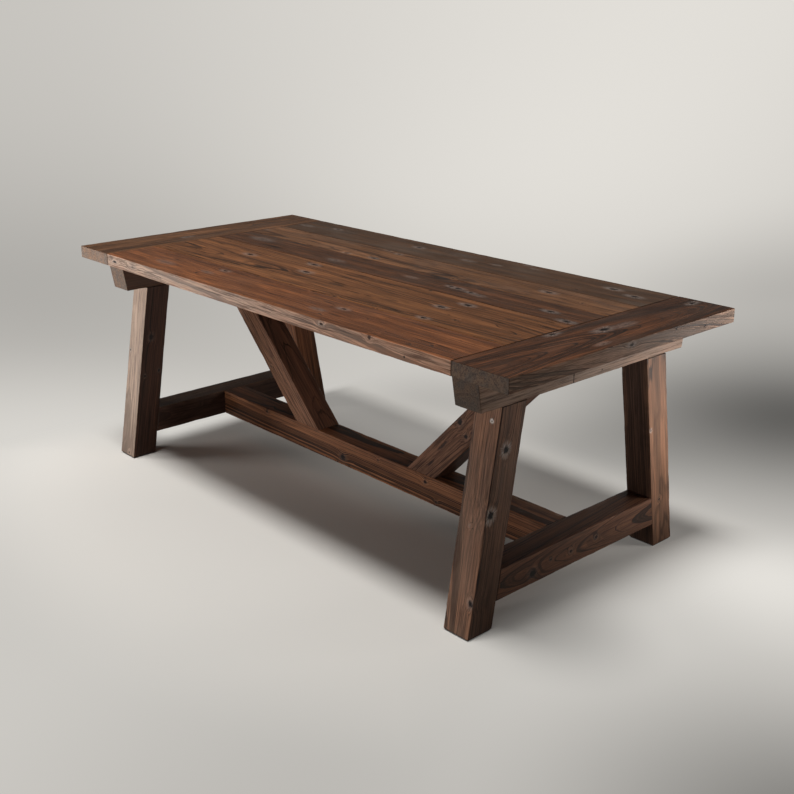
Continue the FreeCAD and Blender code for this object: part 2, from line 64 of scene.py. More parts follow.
# How far from a board's middle the painted light along the grain and the change of a face tone's share end,
# in millimetres.
ALONG_GRAIN_REACH = 600.0
# How far apart the grain of two boards with neighbouring seeds lies, in millimetres.
SEED_STRIDE = (613.0, 271.0, 149.0)
# The middle of a noise's colour.
MIDDLE = (0.5, 0.5, 0.5)
# How much a board stays clear of what lies under it, in metres.
CLEAR = 0.0005

log = logging.getLogger("trestle_table")

Shade = tuple[int, int, int]
Colour = tuple[float, float, float]
Socket = bpy.types.NodeSocket
Sockets = bpy.types.bpy_prop_collection
Tree = bpy.types.NodeTree
Piece = bpy.types.Object
Shape = bmesh.types.BMesh
Value = Union[float, tuple, Vector, Euler, Socket]
Inputs = dict[Union[str, int], Value]


def tone(shade: Shade) -> Colour:
    """Turn a stain chart's display values into a linear colour.

    Args:
        shade: Red, green and blue from 0 to 255.

    Returns:
        The linear colour.
    """
    parts = [part / 255 for part in shade]
    return tuple(part / 12.92 if part <= 0.04045 else ((part + 0.055) / 1.055) ** 2.4 for part in parts)


class Graph:
    """Shorthand for wiring one node tree."""

    def __init__(self, tree: Tree) -> None:
        """Keep the tree that is wired."""
        self.tree = tree

    def add(self, kind: str, inputs: Inputs, **settings: object) -> bpy.types.Node:
        """Place a shader node.

        Args:
            kind: The node's type name after the word ShaderNode.
            inputs: What its inputs are set to.
            settings: The node's own settings.

        Returns:
            The new node.
        """
        node = self.tree.nodes.new(f"ShaderNode{kind}")
        for key, setting in settings.items():
            setattr(node, key, setting)
        self.fill(node, inputs)
        return node

    def fill(self, node: bpy.types.Node, inputs: Inputs) -> None:
        """Set some inputs of a node.

        Args:
            node: The node.
            inputs: Numbers, vectors, colours or sockets to link to, by the input's name or number.
        """
        for key, value in inputs.items():
            socket = node.inputs[key]
            if isinstance(value, Socket):
                self.tree.links.new(value, socket)
            else:
                socket.default_value = (*value, 1.0) if socket.type == "RGBA" else value

    def math(self, operation: str, *values: Value) -> Socket:
        """Work out one step of arithmetic."""
        return self.add("Math", dict(enumerate(values)), operation=operation).outputs[0]

    def times(self, first: Value, second: Value) -> Socket:
        """Multiply two values."""
        return self.math("MULTIPLY", first, second)

    def plus(self, first: Value, second: Value) -> Socket:
        """Add two values."""
        return self.math("ADD", first, second)

    def most(self, first: Value, second: Value) -> Socket:
        """Take the larger of two values."""
        return self.math("MAXIMUM", first, second)

    def vector(self, operation: str, *values: Value) -> Socket:
        """Work out a vector from vectors."""
        return self.add("VectorMath", dict(enumerate(values)), operation=operation).outputs[0]

    def measure(self, operation: str, *values: Value) -> Socket:
        """Work out a number from vectors."""
        return self.add("VectorMath", dict(enumerate(values)), operation=operation).outputs["Value"]

    def scaled(self, vector: Value, factor: Value) -> Socket:
        """Multiply a vector by a number."""
        return self.add("VectorMath", {0: vector, "Scale": factor}, operation="SCALE").outputs[0]

    def part(self, vector: Value, axis: str) -> Socket:
        """Take one axis of a vector."""
        return self.add("SeparateXYZ", {"Vector": vector}).outputs[axis]

    def spot(self) -> Socket:
        """Give the place in the table, which is the object's own space."""
        return self.add("TexCoord", {}).outputs["Object"]

    def step(self, value: Value, low: Value, high: float, start: float = 0.0, end: float = 1.0) -> Socket:
        """Ease from start to end while a value goes from low to high."""
        inputs = {"Value": value, "From Min": low, "From Max": high, "To Min": start, "To Max": end}
        return self.add("MapRange", inputs, interpolation_type="SMOOTHSTEP").outputs["Result"]

    def fall(self, value: Value, low: float, high: float) -> Socket:
        """Ease from 1 to 0 while a value goes from low to high."""
        return self.step(value, low, high, 1.0, 0.0)

    def mix(self, share: Value, first: Value, second: Value, blend: str = "MIX") -> Socket:
        """Lay a share of the second colour over the first."""
        inputs = {0: share, 6: first, 7: second}
        return self.add("Mix", inputs, data_type="RGBA", blend_type=blend, clamp_result=True).outputs[2]

    def noise(self, point: Value, scale: Colour, detail: float, roughness: float = 0.5) -> Sockets:
        """Place a soft noise, as fine along each axis as the scale says."""
        inputs = {"Vector": self.vector("MULTIPLY", point, scale), "Detail": detail, "Roughness": roughness}
        return self.add("TexNoise", {"Scale": 1.0, **inputs}).outputs

    def seen(self) -> Socket:
        """Tell what is looked at from what only gives light.

        Returns:
            1 for the camera and for reflections, and 0 for other light.
        """
        path = self.add("LightPath", {}).outputs
        mirrored = self.most(path["Is Glossy Ray"], path["Is Transmission Ray"])
        return self.most(path["Is Camera Ray"], mirrored)


class Effects:
    """Shader effects that several finishes share, each built once as a node group.

    A scale says how fine a noise is along X, Y and Z.
    An edge is a pair of values between which something comes in or goes out.
    """

    # Growth rings: the scales of their drift and flutter, and how far they flutter, in millimetres.
    DRIFT_SCALE = (0.0016, 0.009, 0.009)
    FLUTTER_SCALE = (0.01, 0.06, 0.06)
    FLUTTER_REACH = 3.0
    # How fast fat and lean years change outwards, and how far they shift a ring, in millimetres.
    SEASON_SCALE = 0.03
    SEASON_REACH = 22.0
    # Where in a year's ring the late wood is full and where it ends, and its least strength and the rest.
    LATE_FULL = 0.88
    LATE_EDGE = (0.91, 1.0)
    YEAR_LEAST = 0.3
    YEAR_RANGE = 0.75
    # Fibres: the scale, detail and roughness of the streaks, broad bands and blotches.
    FIBRES = {"Streak": ((0.007, 0.23, 0.23), 5.0, 0.66),
              "Band": ((0.0016, 0.034, 0.034), 3.0, 0.55),
              "Blotch": ((0.0042, 0.011, 0.011), 3.0, 0.6)}
    # Threads: the scales of their course and of the gaps in it, and the edges of both.
    THREAD_SCALE = (0.0011, 0.042, 0.042)
    GAP_SCALE = (0.005, 0.02, 0.02)
    THREAD_EDGE = (0.003, 0.022)
    GAP_EDGE = (0.44, 0.56)
    # Knots: the scale and reach of their unevenness, the scale of their rays, and the edges of their parts.
    KNOT_SCALE = (0.09, 0.19, 0.19)
    KNOT_REACH = 1.3
    RAY_SCALE = (5.0, 5.0, 5.0)
    RAY_EDGE = (0.47, 0.6)
    HEART_EDGE = (0.5, 1.15)
    HALO_EDGE = (0.7, 2.3)
    CLOUD_EDGE = (0.28, 0.62)
    # How fast a knot's push on the rings dies away.
    PUSH_FALL = -0.22
    # Stained wood: the edges of its glow, fibres, grey patches, dark ripples and end grain.
    GLOW_EDGE = (0.42, 0.66)
    FIBRE_EDGE = (0.3, 0.7)
    PATCH_EDGE = (0.44, 0.7)
    RIPPLE_EDGE = (0.38, 0.56)
    BUTT_EDGE = (0.5, 0.85)
    # How much fibres darken and brighten it, and how much years differ.
    FIBRE_RANGE = (-0.45, 0.36)
    YEAR_TINT = 0.12
    # End grain: the edges of its grey wood and its pores, and how dark pores and late wood are.
    GREY_EDGE = (0.4, 0.62)
    PORE_EDGE = (0.36, 0.6)
    PORE_RANGE = (0.55, 0.0)
    PORE_LATE = 0.3
    # The dark rim round the end grain: where it comes in and goes out again, and how much of it shows.
    RIM_START = (0.1, 0.45)
    RIM_STOP = (0.8, 0.98)
    RIM_SHARE = 0.7
    # The colours of knots, cracks, end grain and pores, and what a furrow leaves of a face's colour.
    HEART = tone((22, 17, 17))
    CRACK = tone((13, 9, 8))
    BUTT_WARM = tone((90, 70, 56))
    BUTT_GREY = tone((78, 66, 58))
    PORE = tone((30, 24, 21))
    FURROW = (0.11, 0.08, 0.07)
    # How much brighter rubbed wood is, how rough waxed wood is, what changes that, and what is high or low.
    RUB_GAIN = 1.35
    WAXED = 0.45
    ROUGH_GAINS = {"Streak": 0.25, "Late": -0.08, "Halo": 0.12}
    LIFTS = {"Streak": 0.8, "Late": 0.55, "Core": -0.9, "Thread": -0.6, "Split": -1.5}

    def __init__(self) -> None:
        """Start with no group built."""
        self._built: dict[str, Tree] = {}
        self._builders = {"growth_rings": self._growth_rings, "fibres": self._fibres, "knot": self._knot,
                          "stained": self._stained}

    def use(self, graph: Graph, name: str, inputs: Inputs) -> Sockets:
        """Place an effect, and build its group on first use.

        Args:
            graph: The graph that it goes into.
            name: The effect's name.
            inputs: What its inputs are set to.

        Returns:
            Its outputs.
        """
        if name not in self._built:
            self._built[name] = bpy.data.node_groups.new(name, "ShaderNodeTree")
            self._builders[name](self._built[name])
        return graph.add("Group", inputs, node_tree=self._built[name]).outputs

    @staticmethod
    def _open(tree: Tree, inputs: dict[str, str], outputs: dict[str, str]
              ) -> tuple[Graph, Sockets, bpy.types.Node]:
        """Declare a group's sockets.

        Args:
            tree: The group's tree.
            inputs: The names of its inputs by kind, with commas between them.
            outputs: The names of its outputs in the same way.

        Returns:
            The shorthand for the tree, the inputs' sockets and the output node.
        """
        for way, kinds in (("INPUT", inputs), ("OUTPUT", outputs)):
            for kind, names in kinds.items():
                for name in names.split(", "):
                    tree.interface.new_socket(name, in_out=way, socket_type=f"NodeSocket{kind}")
        return Graph(tree), tree.nodes.new("NodeGroupInput").outputs, tree.nodes.new("NodeGroupOutput")

    def _growth_rings(self, tree: Tree) -> None:
        """Wire the yearly rings round a pith that runs along the board.

        Args:
            tree: The group's tree.
        """
        graph, given, out = self._open(
            tree, {"Vector": "Point, Seed, Pith", "Float": "Spacing, Wander, Taper, Thin, Push"},
            {"Float": "Late, Year"})
        seeded = graph.vector("ADD", given["Point"], given["Seed"])
        slow = graph.noise(seeded, self.DRIFT_SCALE, detail=2.0)["Color"]
        drift = graph.scaled(graph.vector("SUBTRACT", slow, MIDDLE), graph.times(given["Wander"], 2.0))
        quick = graph.noise(seeded, self.FLUTTER_SCALE, detail=2.0)["Fac"]
        flutter = graph.times(graph.math("SUBTRACT", quick, 0.5), self.FLUTTER_REACH)
        away = graph.vector("SUBTRACT", graph.vector("ADD", given["Point"], drift), given["Pith"])
        across = graph.measure("LENGTH", graph.vector("MULTIPLY", away, (0.0, 1.0, 1.0)))
        radius = graph.plus(across, graph.times(graph.part(given["Point"], "X"), given["Taper"]))
        radius = graph.plus(graph.plus(radius, given["Push"]), flutter)
        outwards = graph.times(radius, self.SEASON_SCALE)
        years = graph.add("TexNoise", {"W": outwards, "Detail": 2.0}, noise_dimensions="1D")
        radius = graph.plus(radius, graph.times(years.outputs["Fac"], self.SEASON_REACH))
        count = graph.math("DIVIDE", radius, given["Spacing"])
        part = graph.math("FRACT", count)
        whole = graph.math("FLOOR", count)
        chance = graph.add("TexWhiteNoise", {"W": whole}, noise_dimensions="1D").outputs["Value"]
        begun = graph.step(part, given["Thin"], self.LATE_FULL)
        late = graph.times(begun, graph.fall(part, *self.LATE_EDGE))
        strength = graph.math("MULTIPLY_ADD", chance, self.YEAR_RANGE, self.YEAR_LEAST)
        graph.fill(out, {"Late": graph.times(late, strength), "Year": chance})

    def _fibres(self, tree: Tree) -> None:
        """Wire the streaks, broad bands, blotches and thin dark threads along the grain.

        Args:
            tree: The group's tree.
        """
        graph, given, out = self._open(
            tree, {"Vector": "Point, Seed"}, {"Float": "Streak, Band, Blotch, Thread"})
        seeded = graph.vector("ADD", given["Point"], given["Seed"])
        for name, (scale, detail, rough) in self.FIBRES.items():
            graph.fill(out, {name: graph.noise(seeded, scale, detail, rough)["Fac"]})
        line = graph.noise(seeded, self.THREAD_SCALE, detail=1.0)["Fac"]
        gap = graph.math("ABSOLUTE", graph.math("SUBTRACT", line, 0.5))
        broken = graph.noise(seeded, self.GAP_SCALE, detail=2.0)["Fac"]
        thread = graph.times(graph.fall(gap, *self.THREAD_EDGE), graph.step(broken, *self.GAP_EDGE))
        graph.fill(out, {"Thread": thread})

    def _knot(self, tree: Tree) -> None:
        """Wire one knot: its dark heart, its pale halo and its push on the rings.

        Args:
            tree: The group's tree.
        """
        graph, given, out = self._open(
            tree, {"Vector": "Point, Centre, Spread", "Float": "Dark, Heart, Pale, Rays, Swell"},
            {"Float": "Core, Halo, Push"})
        rough = graph.noise(given["Point"], self.KNOT_SCALE, detail=3.0, roughness=0.65)
        shake = graph.scaled(graph.vector("SUBTRACT", rough["Color"], MIDDLE), self.KNOT_REACH)
        away = graph.vector("SUBTRACT", given["Point"], given["Centre"])
        local = graph.vector("MULTIPLY", away, given["Spread"])
        near = graph.measure("LENGTH", local)
        far = graph.measure("LENGTH", graph.vector("ADD", local, shake))
        inner = graph.fall(graph.math("DIVIDE", far, given["Heart"]), *self.HEART_EDGE)
        patch = graph.times(graph.fall(far, *self.HALO_EDGE), given["Pale"])
        cloud = graph.step(rough["Fac"], *self.CLOUD_EDGE)
        star = graph.noise(graph.vector("NORMALIZE", local), self.RAY_SCALE, detail=1.0)["Fac"]
        rays = graph.times(graph.step(star, *self.RAY_EDGE), given["Rays"])
        veil = graph.math("MULTIPLY_ADD", cloud, graph.math("SUBTRACT", 1.0, given["Rays"]), rays)
        fall = graph.math("EXPONENT", graph.times(graph.times(near, near), self.PUSH_FALL))
        graph.fill(out, {"Core": graph.times(inner, given["Dark"]), "Halo": graph.times(patch, veil),
                         "Push": graph.times(fall, given["Swell"])})

    def _stained(self, tree: Tree) -> None:
        """Wire a stained timber's colour, roughness and relief from its grain, marks and wear, and the
        painted light and shade of its face tone and fade.

        Args:
            tree: The group's tree.
        """
        graph, given, out = self._open(
            tree, {"Float": "Late, Year, Streak, Band, Blotch, Thread, Core, Halo, Worn, Split, End, Edge, "
                            "Fade, Contrast, Threads, Fibre, Ripple, Butt, Rub, Weather",
                   "Color": "Early Tone, Glow Tone, Late Tone, Grey Tone, Halo Tone, Edge Tone"},
            {"Color": "Colour", "Float": "Roughness, Height"})
        late, streak, end = given["Late"], given["Streak"], given["End"]
        glow = graph.step(given["Band"], *self.GLOW_EDGE)
        glowing = graph.mix(glow, given["Early Tone"], given["Glow Tone"])
        dark = graph.times(late, given["Contrast"])
        thread = graph.times(given["Thread"], given["Threads"])
        ringed = graph.mix(graph.most(dark, thread), glowing, given["Late Tone"])
        fibre = graph.times(graph.step(streak, *self.FIBRE_EDGE, *self.FIBRE_RANGE), given["Fibre"])
        level = graph.plus(graph.math("MULTIPLY_ADD", given["Year"], self.YEAR_TINT, 1.0), fibre)
        # Painted light: the Fade input makes the board lighter or darker towards its ends.
        varied = graph.scaled(ringed, graph.times(level, given["Fade"]))
        patchy = graph.times(graph.step(given["Blotch"], *self.PATCH_EDGE), given["Weather"])
        greyed = graph.mix(patchy, varied, given["Grey Tone"])
        # The face's own tone: weathering grey on some timbers, painted highlight or painted shade on others,
        # with dark grain through it.
        ripple = graph.most(graph.fall(streak, *self.RIPPLE_EDGE), dark)
        furrow = graph.mix(1.0, given["Edge Tone"], self.FURROW, "MULTIPLY")
        weathered_and_painted_face = graph.mix(graph.times(ripple, given["Ripple"]), given["Edge Tone"], furrow)
        edged = graph.mix(given["Edge"], greyed, weathered_and_painted_face)
        haloed = graph.mix(given["Halo"], edged, given["Halo Tone"])
        hearted = graph.mix(given["Core"], haloed, self.HEART)
        bright = graph.scaled(given["Glow Tone"], self.RUB_GAIN)
        rubbed = graph.mix(graph.times(given["Worn"], given["Rub"]), hearted, bright)
        fine = graph.step(streak, *self.PORE_EDGE, *self.PORE_RANGE)
        pores = graph.math("MULTIPLY_ADD", late, self.PORE_LATE, fine)
        sawn = graph.mix(graph.step(given["Band"], *self.GREY_EDGE), self.BUTT_WARM, self.BUTT_GREY)
        butt = graph.scaled(graph.mix(pores, sawn, self.PORE), given["Butt"])
        ended = graph.mix(graph.step(end, *self.BUTT_EDGE), rubbed, butt)
        rim = graph.times(graph.step(end, *self.RIM_START), graph.fall(end, *self.RIM_STOP))
        rimmed = graph.mix(graph.times(rim, self.RIM_SHARE), ended, given["Late Tone"])
        rough, height = self.WAXED, 0.0
        for name, gain in self.ROUGH_GAINS.items():
            rough = graph.math("MULTIPLY_ADD", given[name], gain, rough)
        for name, lift in self.LIFTS.items():
            height = graph.math("MULTIPLY_ADD", given[name], lift, height)
        colour = graph.mix(given["Split"], rimmed, self.CRACK)
        graph.fill(out, {"Colour": colour, "Roughness": rough, "Height": height})


EFFECTS = Effects()


class MarkLook(NamedTuple):
    """How a mark shows.

    Attributes:
        dark: How dark its heart is.
        heart: The heart's share of its radius.
        pale: How much its halo shows.
        rays: How far the halo breaks into rays.
        swell: Its push on the rings, in millimetres.
        stretch: How long it is along the grain.
    """

    dark: float
    heart: float
    pale: float
    rays: float
    swell: float
    stretch: float


class Mark(Enum):
    """Marks that a board carries."""

    KNOT = MarkLook(1.0, 1.0, 0.10, 0.0, 10.0, 1.2)
    STAR = MarkLook(1.0, 0.95, 0.42, 0.5, 10.0, 1.15)
    EYE = MarkLook(1.0, 0.8, 0.8, 0.55, 7.0, 2.2)
    PATCH = MarkLook(0.35, 0.5, 0.42, 0.2, 6.0, 2.8)
    NAIL = MarkLook(1.0, 1.0, 0.0, 0.0, 0.0, 1.0)
    RING = MarkLook(0.9, 0.7, 1.0, 0.0, 2.0, 1.0)
    STREAK = MarkLook(0.8, 1.0, 0.0, 0.0, 3.0, 6.0)


class Side(Enum):
    """Faces of the table that a mark can lie on, by the way they look."""

    TOP = (0.0, 0.0, 1.0)
    FRONT = (0.0, -1.0, 0.0)
    RIGHT = (1.0, 0.0, 0.0)


class Blemish(NamedTuple):
    """A mark at a place of the table, in millimetres, with the radius of its heart."""

    kind: Mark
    side: Side
    place: Vector
    radius: float


def marks(side: Side, **kinds: tuple[tuple[float, ...], ...]) -> tuple[Blemish, ...]:
    """List marks on one side of the table.

    Args:
        side: The side.
        kinds: The marks of each kind: x and y, and z unless they lie on the top, then the radius.

    Returns:
        The marks.
    """
    return tuple(Blemish(Mark[kind.upper()], side, Vector((*place, TOP_LEVEL)[:3]), radius)
                 for kind, spots in kinds.items() for *place, radius in spots)


class Stain(Enum):
    """Stains of the table's timbers: light wood, glowing wood, dark wood, weather-grey wood."""

    UMBER = (80, 52, 36), (96, 62, 42), (34, 22, 16), (84, 68, 58)
    CHESTNUT = (108, 66, 42), (138, 86, 54), (46, 26, 17), (96, 74, 62)
    HONEY = (106, 69, 45), (134, 88, 56), (40, 24, 14), (96, 70, 50)
    RUSSET = (104, 75, 59), (115, 82, 63), (38, 25, 19), (108, 88, 76)
    ASH = (74, 53, 39), (90, 64, 47), (36, 26, 20), (94, 80, 70)
    WALNUT = (76, 48, 33), (100, 63, 42), (30, 19, 14), (84, 66, 56)
    TAN = (104, 72, 50), (128, 90, 64), (50, 31, 21), (110, 88, 74)
    COCOA = (88, 54, 35), (112, 70, 45), (24, 13, 8), (78, 58, 46)
    AMBER = (98, 63, 43), (124, 82, 56), (22, 13, 9), (82, 62, 50)
    # Painted shade: SMOKE is a darker copy of the brown stains for timbers that lie in the table's shadow.
    SMOKE = (60, 39, 29), (76, 49, 36), (18, 12, 9), (64, 50, 43)
    SEPIA = (84, 61, 47), (106, 76, 58), (36, 24, 18), (90, 72, 62)
    MOCHA = (76, 51, 38), (93, 63, 47), (26, 17, 13), (76, 60, 51)
    # Painted shade: PAINTED_DEEP_SHADE is darker still, for the left front leg, whose faces lie in shadow
    # but for its front.
    PAINTED_DEEP_SHADE = (50, 32, 24), (63, 40, 30), (15, 10, 8), (54, 42, 36)
    DRIFT = (90, 68, 55), (106, 80, 64), (42, 31, 26), (104, 90, 80)


def new_material(name: str) -> tuple[bpy.types.Material, Graph, bpy.types.Node]:
    """Start a procedural material.

    Args:
        name: The material's name.

    Returns:
        The material, its graph and its shader.
    """
    material = bpy.data.materials.new(name)
    material.use_nodes = True
    return material, Graph(material.node_tree), material.node_tree.nodes["Principled BSDF"]


@dataclass(frozen=True)
class StainedWood:
    """Brown stained and waxed softwood, cut from a log with its pith at a place beside the board.

    Attributes:
        stain: The stain.
        pith: The pith's place across and through the board, in millimetres.
        seed: A number that makes the board unlike its neighbours.
        spacing: The width of a year's ring, in millimetres.
        contrast: How much darker late wood is.
        taper: How fast the rings run out along the board.
        wander: How far the rings wander, in millimetres.
        weather: How much grey patches show.
        thin: Where in a year's ring the late wood begins.
        threads: How much thin dark lines show.
        sheen: How strongly the wax reflects.
        fibre: How much the fine fibres show.
        fade: How much painted light brightens or darkens the board towards its low and high end.
        edge_side: The side of the board whose face has its own tone, -1 or 1, or 0 for none.
        edge_axis: The board's axis that this face looks along: 1 across, 2 through.
        edge_share: How much that face shows its own tone towards the board's low and high end.
        edge_tone: That tone: weathering grey on some boards, a painted highlight or painted shade on others.
        ripple: How much dark grain stands out on it.
        butt: How light the end grain is.
        halo_tone: The colour of the pale wood round its marks; where it is whiter it also paints a highlight
            on them.
        rub: How much its worn edges brighten.
        blemishes: Knots and other marks.
    """

    RELIEF = {"Strength": 0.55, "Distance": 0.0009}
    # How far a surface looks towards a side where its own face tone or its marks begin, and where they are
    # full.
    EDGE_TURN = (0.55, 0.95)
    MARK_TURN = (0.45, 0.8)
    # How little a mark changes with depth.
    MARK_DEPTH = 0.4

    stain: Stain
    pith: tuple[float, float]
    seed: float
    spacing: float = 7.0
    contrast: float = 0.75
    taper: float = 0.02
    wander: float = 10.0
    weather: float = 0.45
    thin: float = 0.4
    threads: float = 0.6
    sheen: float = 0.09
    fibre: float = 0.9
    fade: tuple[float, float] = (1.0, 1.0)
    edge_side: float = 0.0
    edge_axis: int = 1
    edge_share: tuple[float, float] = (0.85, 0.85)
    edge_tone: Shade = (176, 152, 134)
    ripple: float = 1.0
    butt: float = 1.0
    halo_tone: Shade = (146, 134, 127)
    rub: float = 0.3
    blemishes: tuple[Blemish, ...] = ()

    def dress(self, piece: Piece, place: Matrix) -> None:
        """Give a timber its own cut of this wood.

        Args:
            piece: The timber's object.
            place: The timber's place, from its own space to the table's.
        """
        material, graph, shader = new_material(f"wood_{piece.name}")
        mapping = {"Vector": graph.spot(), "Location": place.to_translation(), "Rotation": place.to_euler(),
                   "Scale": (MM, MM, MM)}
        point = graph.add("Mapping", mapping, vector_type="TEXTURE").outputs["Vector"]
        along = graph.part(point, "X")
        shift = tuple(stride * self.seed for stride in SEED_STRIDE)
        facing = graph.add("NewGeometry", {}).outputs["Normal"]
        axes = place.to_3x3().col
        end = graph.measure("DOT_PRODUCT", facing, axes[0])
        # The face with its own tone: weathering on some timbers, painted highlight or painted shade on
        # others.
        side = graph.measure("DOT_PRODUCT", facing, axes[self.edge_axis] * self.edge_side)
        share = graph.step(along, -ALONG_GRAIN_REACH, ALONG_GRAIN_REACH, *self.edge_share)
        weathered_and_painted_face = graph.step(side, *self.EDGE_TURN)

        core, halo, push = self._marks(graph, point, facing, place)
        rings = EFFECTS.use(graph, "growth_rings", {
            "Point": point, "Seed": shift, "Pith": (0.0, *self.pith), "Push": push,
            **self._inputs("spacing", "wander", "taper", "thin")})
        bent = graph.add("CombineXYZ", {"Y": push, "Z": push}).outputs["Vector"]
        fibres = EFFECTS.use(graph, "fibres", {"Point": graph.vector("ADD", point, bent), "Seed": shift})
        tones = dict(zip(("Early Tone", "Glow Tone", "Late Tone", "Grey Tone"), map(tone, self.stain.value)))
        stained = EFFECTS.use(graph, "stained", {
            "Late": rings["Late"], "Year": rings["Year"], "Streak": fibres["Streak"], "Band": fibres["Band"],
            "Blotch": fibres["Blotch"], "Thread": fibres["Thread"], "Core": core, "Halo": halo,
            "Worn": graph.add("Attribute", {}, attribute_name="worn").outputs["Fac"],
            "Split": graph.add("Attribute", {}, attribute_name="split").outputs["Fac"],
            "End": graph.math("ABSOLUTE", end), "Edge": graph.times(share, weathered_and_painted_face),
            # Fade is painted light along the board.
            "Fade": graph.step(along, -ALONG_GRAIN_REACH, ALONG_GRAIN_REACH, *self.fade), **tones,
            "Halo Tone": tone(self.halo_tone), "Edge Tone": tone(self.edge_tone),
            **self._inputs("contrast", "threads", "fibre", "ripple", "butt", "rub", "weather")})
        bump = graph.add("Bump", {"Height": stained["Height"], **self.RELIEF})
        graph.fill(shader, {"Base Color": stained["Colour"], "Roughness": stained["Roughness"],
                            "Specular IOR Level": self.sheen, "Normal": bump.outputs["Normal"]})
        piece.data.materials.append(material)

    def _inputs(self, *names: str) -> Inputs:
        """Give some fields under the names of an effect's inputs."""
        return {name.title(): getattr(self, name) for name in names}

    def _marks(self, graph: Graph, point: Socket, facing: Socket, place: Matrix) -> tuple[Value, ...]:
        """Place the board's knots and other marks, each on its own face only.

        Args:
            graph: The material's graph.
            point: The place in the board, in millimetres.
            facing: The way that the surface looks.
            place: The timber's place.

        Returns:
            The dark hearts, the pale halos and the push on the rings.
        """
        core, halo, push = 0.0, 0.0, 0.0
        inward = place.inverted()
        shown: dict[Side, Socket] = {}
        for blemish in self.blemishes:
            look: MarkLook = blemish.kind.value
            side, radius = blemish.side, blemish.radius
            looks = inward.to_3x3() @ Vector(side.value)
            spread = [1 / (radius * look.stretch), 1 / radius, 1 / radius]
            spread[max(range(3), key=lambda axis: abs(looks[axis]))] = self.MARK_DEPTH / radius
            knot = EFFECTS.use(graph, "knot", {
                "Point": point, "Centre": inward @ (blemish.place * MM) / MM, "Spread": spread,
                "Dark": look.dark, "Heart": look.heart, "Pale": look.pale, "Rays": look.rays,
                "Swell": look.swell})
            if side not in shown:
                turned = graph.measure("DOT_PRODUCT", facing, side.value)
                shown[side] = graph.step(turned, *self.MARK_TURN)
            core = graph.most(graph.times(knot["Core"], shown[side]), core)
            halo = graph.most(graph.times(knot["Halo"], shown[side]), halo)
            push = graph.plus(knot["Push"], push)
        return core, halo, push


class CarriedFinish:
    """What the finishes of the carried-over pieces share."""

    NAME: ClassVar[str]
    # The values of a noise between which the roughness changes, and the roughness at both.
    ROUGH: ClassVar[tuple[float, float, float, float]]

    def dress(self, pieces: list[Piece]) -> None:
        """Make this the only finish of some pieces.

        Args:
            pieces: The pieces.
        """
        material, graph, shader = new_material(self.NAME)
        graph.fill(shader, self._look(graph))
        for piece in pieces:
            piece.data.materials.clear()
            piece.data.materials.append(material)

    def _look(self, graph: Graph) -> Inputs:
        """Wire the finish and give the shader's inputs."""
        raise NotImplementedError


@dataclass(frozen=True)
class BareWood(CarriedFinish):
    """Bare hardwood of the hidden pegs and splines.

    Attributes:
        light: The light wood's colour.
        dark: The fibres' colour.
    """

    NAME = "bare_hardwood"
    ROUGH = (0.2, 0.8, 0.5, 0.75)
    light: Colour = tone((176, 138, 96))
    dark: Colour = tone((120, 86, 54))

    def _look(self, graph: Graph) -> Inputs:
        """Wire the fibres and give the shader's inputs."""
        fibres = EFFECTS.use(graph, "fibres", {"Point": graph.scaled(graph.spot(), 1 / MM)})
        return {"Base Color": graph.mix(fibres["Streak"], self.light, self.dark),
                "Roughness": graph.step(fibres["Band"], *self.ROUGH)}


@dataclass(frozen=True)
class ZincSteel(CarriedFinish):
    """Zinc plated steel of the screws and washers.

    Attributes:
        bright: The plating's colour.
        dull: The colour of its cloudy patches.
    """

    NAME = "zinc_steel"
    ROUGH = (0.3, 0.7, 0.28, 0.5)
    CLOUD_SCALE = (350.0, 350.0, 350.0)
    bright: Colour = tone((196, 194, 188))
    dull: Colour = tone((140, 138, 132))

    def _look(self, graph: Graph) -> Inputs:
        """Wire the cloudy plating and give the shader's inputs."""
        cloud = graph.noise(graph.spot(), self.CLOUD_SCALE, detail=4.0)["Fac"]
        return {"Base Color": graph.mix(cloud, self.bright, self.dull), "Metallic": 1.0,
                "Roughness": graph.step(cloud, *self.ROUGH)}


@dataclass(frozen=True)
class PadPlastic(CarriedFinish):
    """Dark moulded plastic of the pads under the feet.

    Attributes:
        dark: The plastic's colour.
        scuffed: The colour of its scuffs.
    """

    NAME = "pad_plastic"
    ROUGH = (0.3, 0.7, 0.5, 0.8)
    SCUFF_SCALE = (260.0, 260.0, 260.0)
    SCUFF_EDGE = (0.45, 0.8)
    RELIEF = {"Strength": 0.3, "Distance": 0.0004}
    dark: Colour = tone((34, 30, 28))
    scuffed: Colour = tone((66, 60, 56))

    def _look(self, graph: Graph) -> Inputs:
        """Wire the scuffs.

        Args:
            graph: The material's graph.

        Returns:
            The shader's inputs.
        """
        scuff = graph.noise(graph.spot(), self.SCUFF_SCALE, detail=5.0, roughness=0.65)["Fac"]
        bump = graph.add("Bump", {"Height": scuff, **self.RELIEF})
        return {"Base Color": graph.mix(graph.step(scuff, *self.SCUFF_EDGE), self.dark, self.scuffed),
                "Roughness": graph.step(scuff, *self.ROUGH), "Normal": bump.outputs["Normal"]}


def as_mesh(name: str, shape: Shape) -> bpy.types.Mesh:
    """Turn a finished shape into a mesh.

    Args:
        name: The mesh's name.
        shape: The shape, which is freed.

    Returns:
        The mesh.
    """
    mesh = bpy.data.meshes.new(name)
    shape.to_mesh(mesh)
    shape.free()
    return mesh


def into_scene(name: str, data: bpy.types.ID) -> Piece:
    """Put a new object into the scene.

    Args:
        name: The object's name.
        data: Its mesh, lamp or camera.

    Returns:
        The object.
    """
    item = bpy.data.objects.new(name, data)
    bpy.context.scene.collection.objects.link(item)
    return item


class Plane(NamedTuple):
    """A saw cut: a point on it, and the way that the waste lies."""

    point: Vector
    waste: Vector


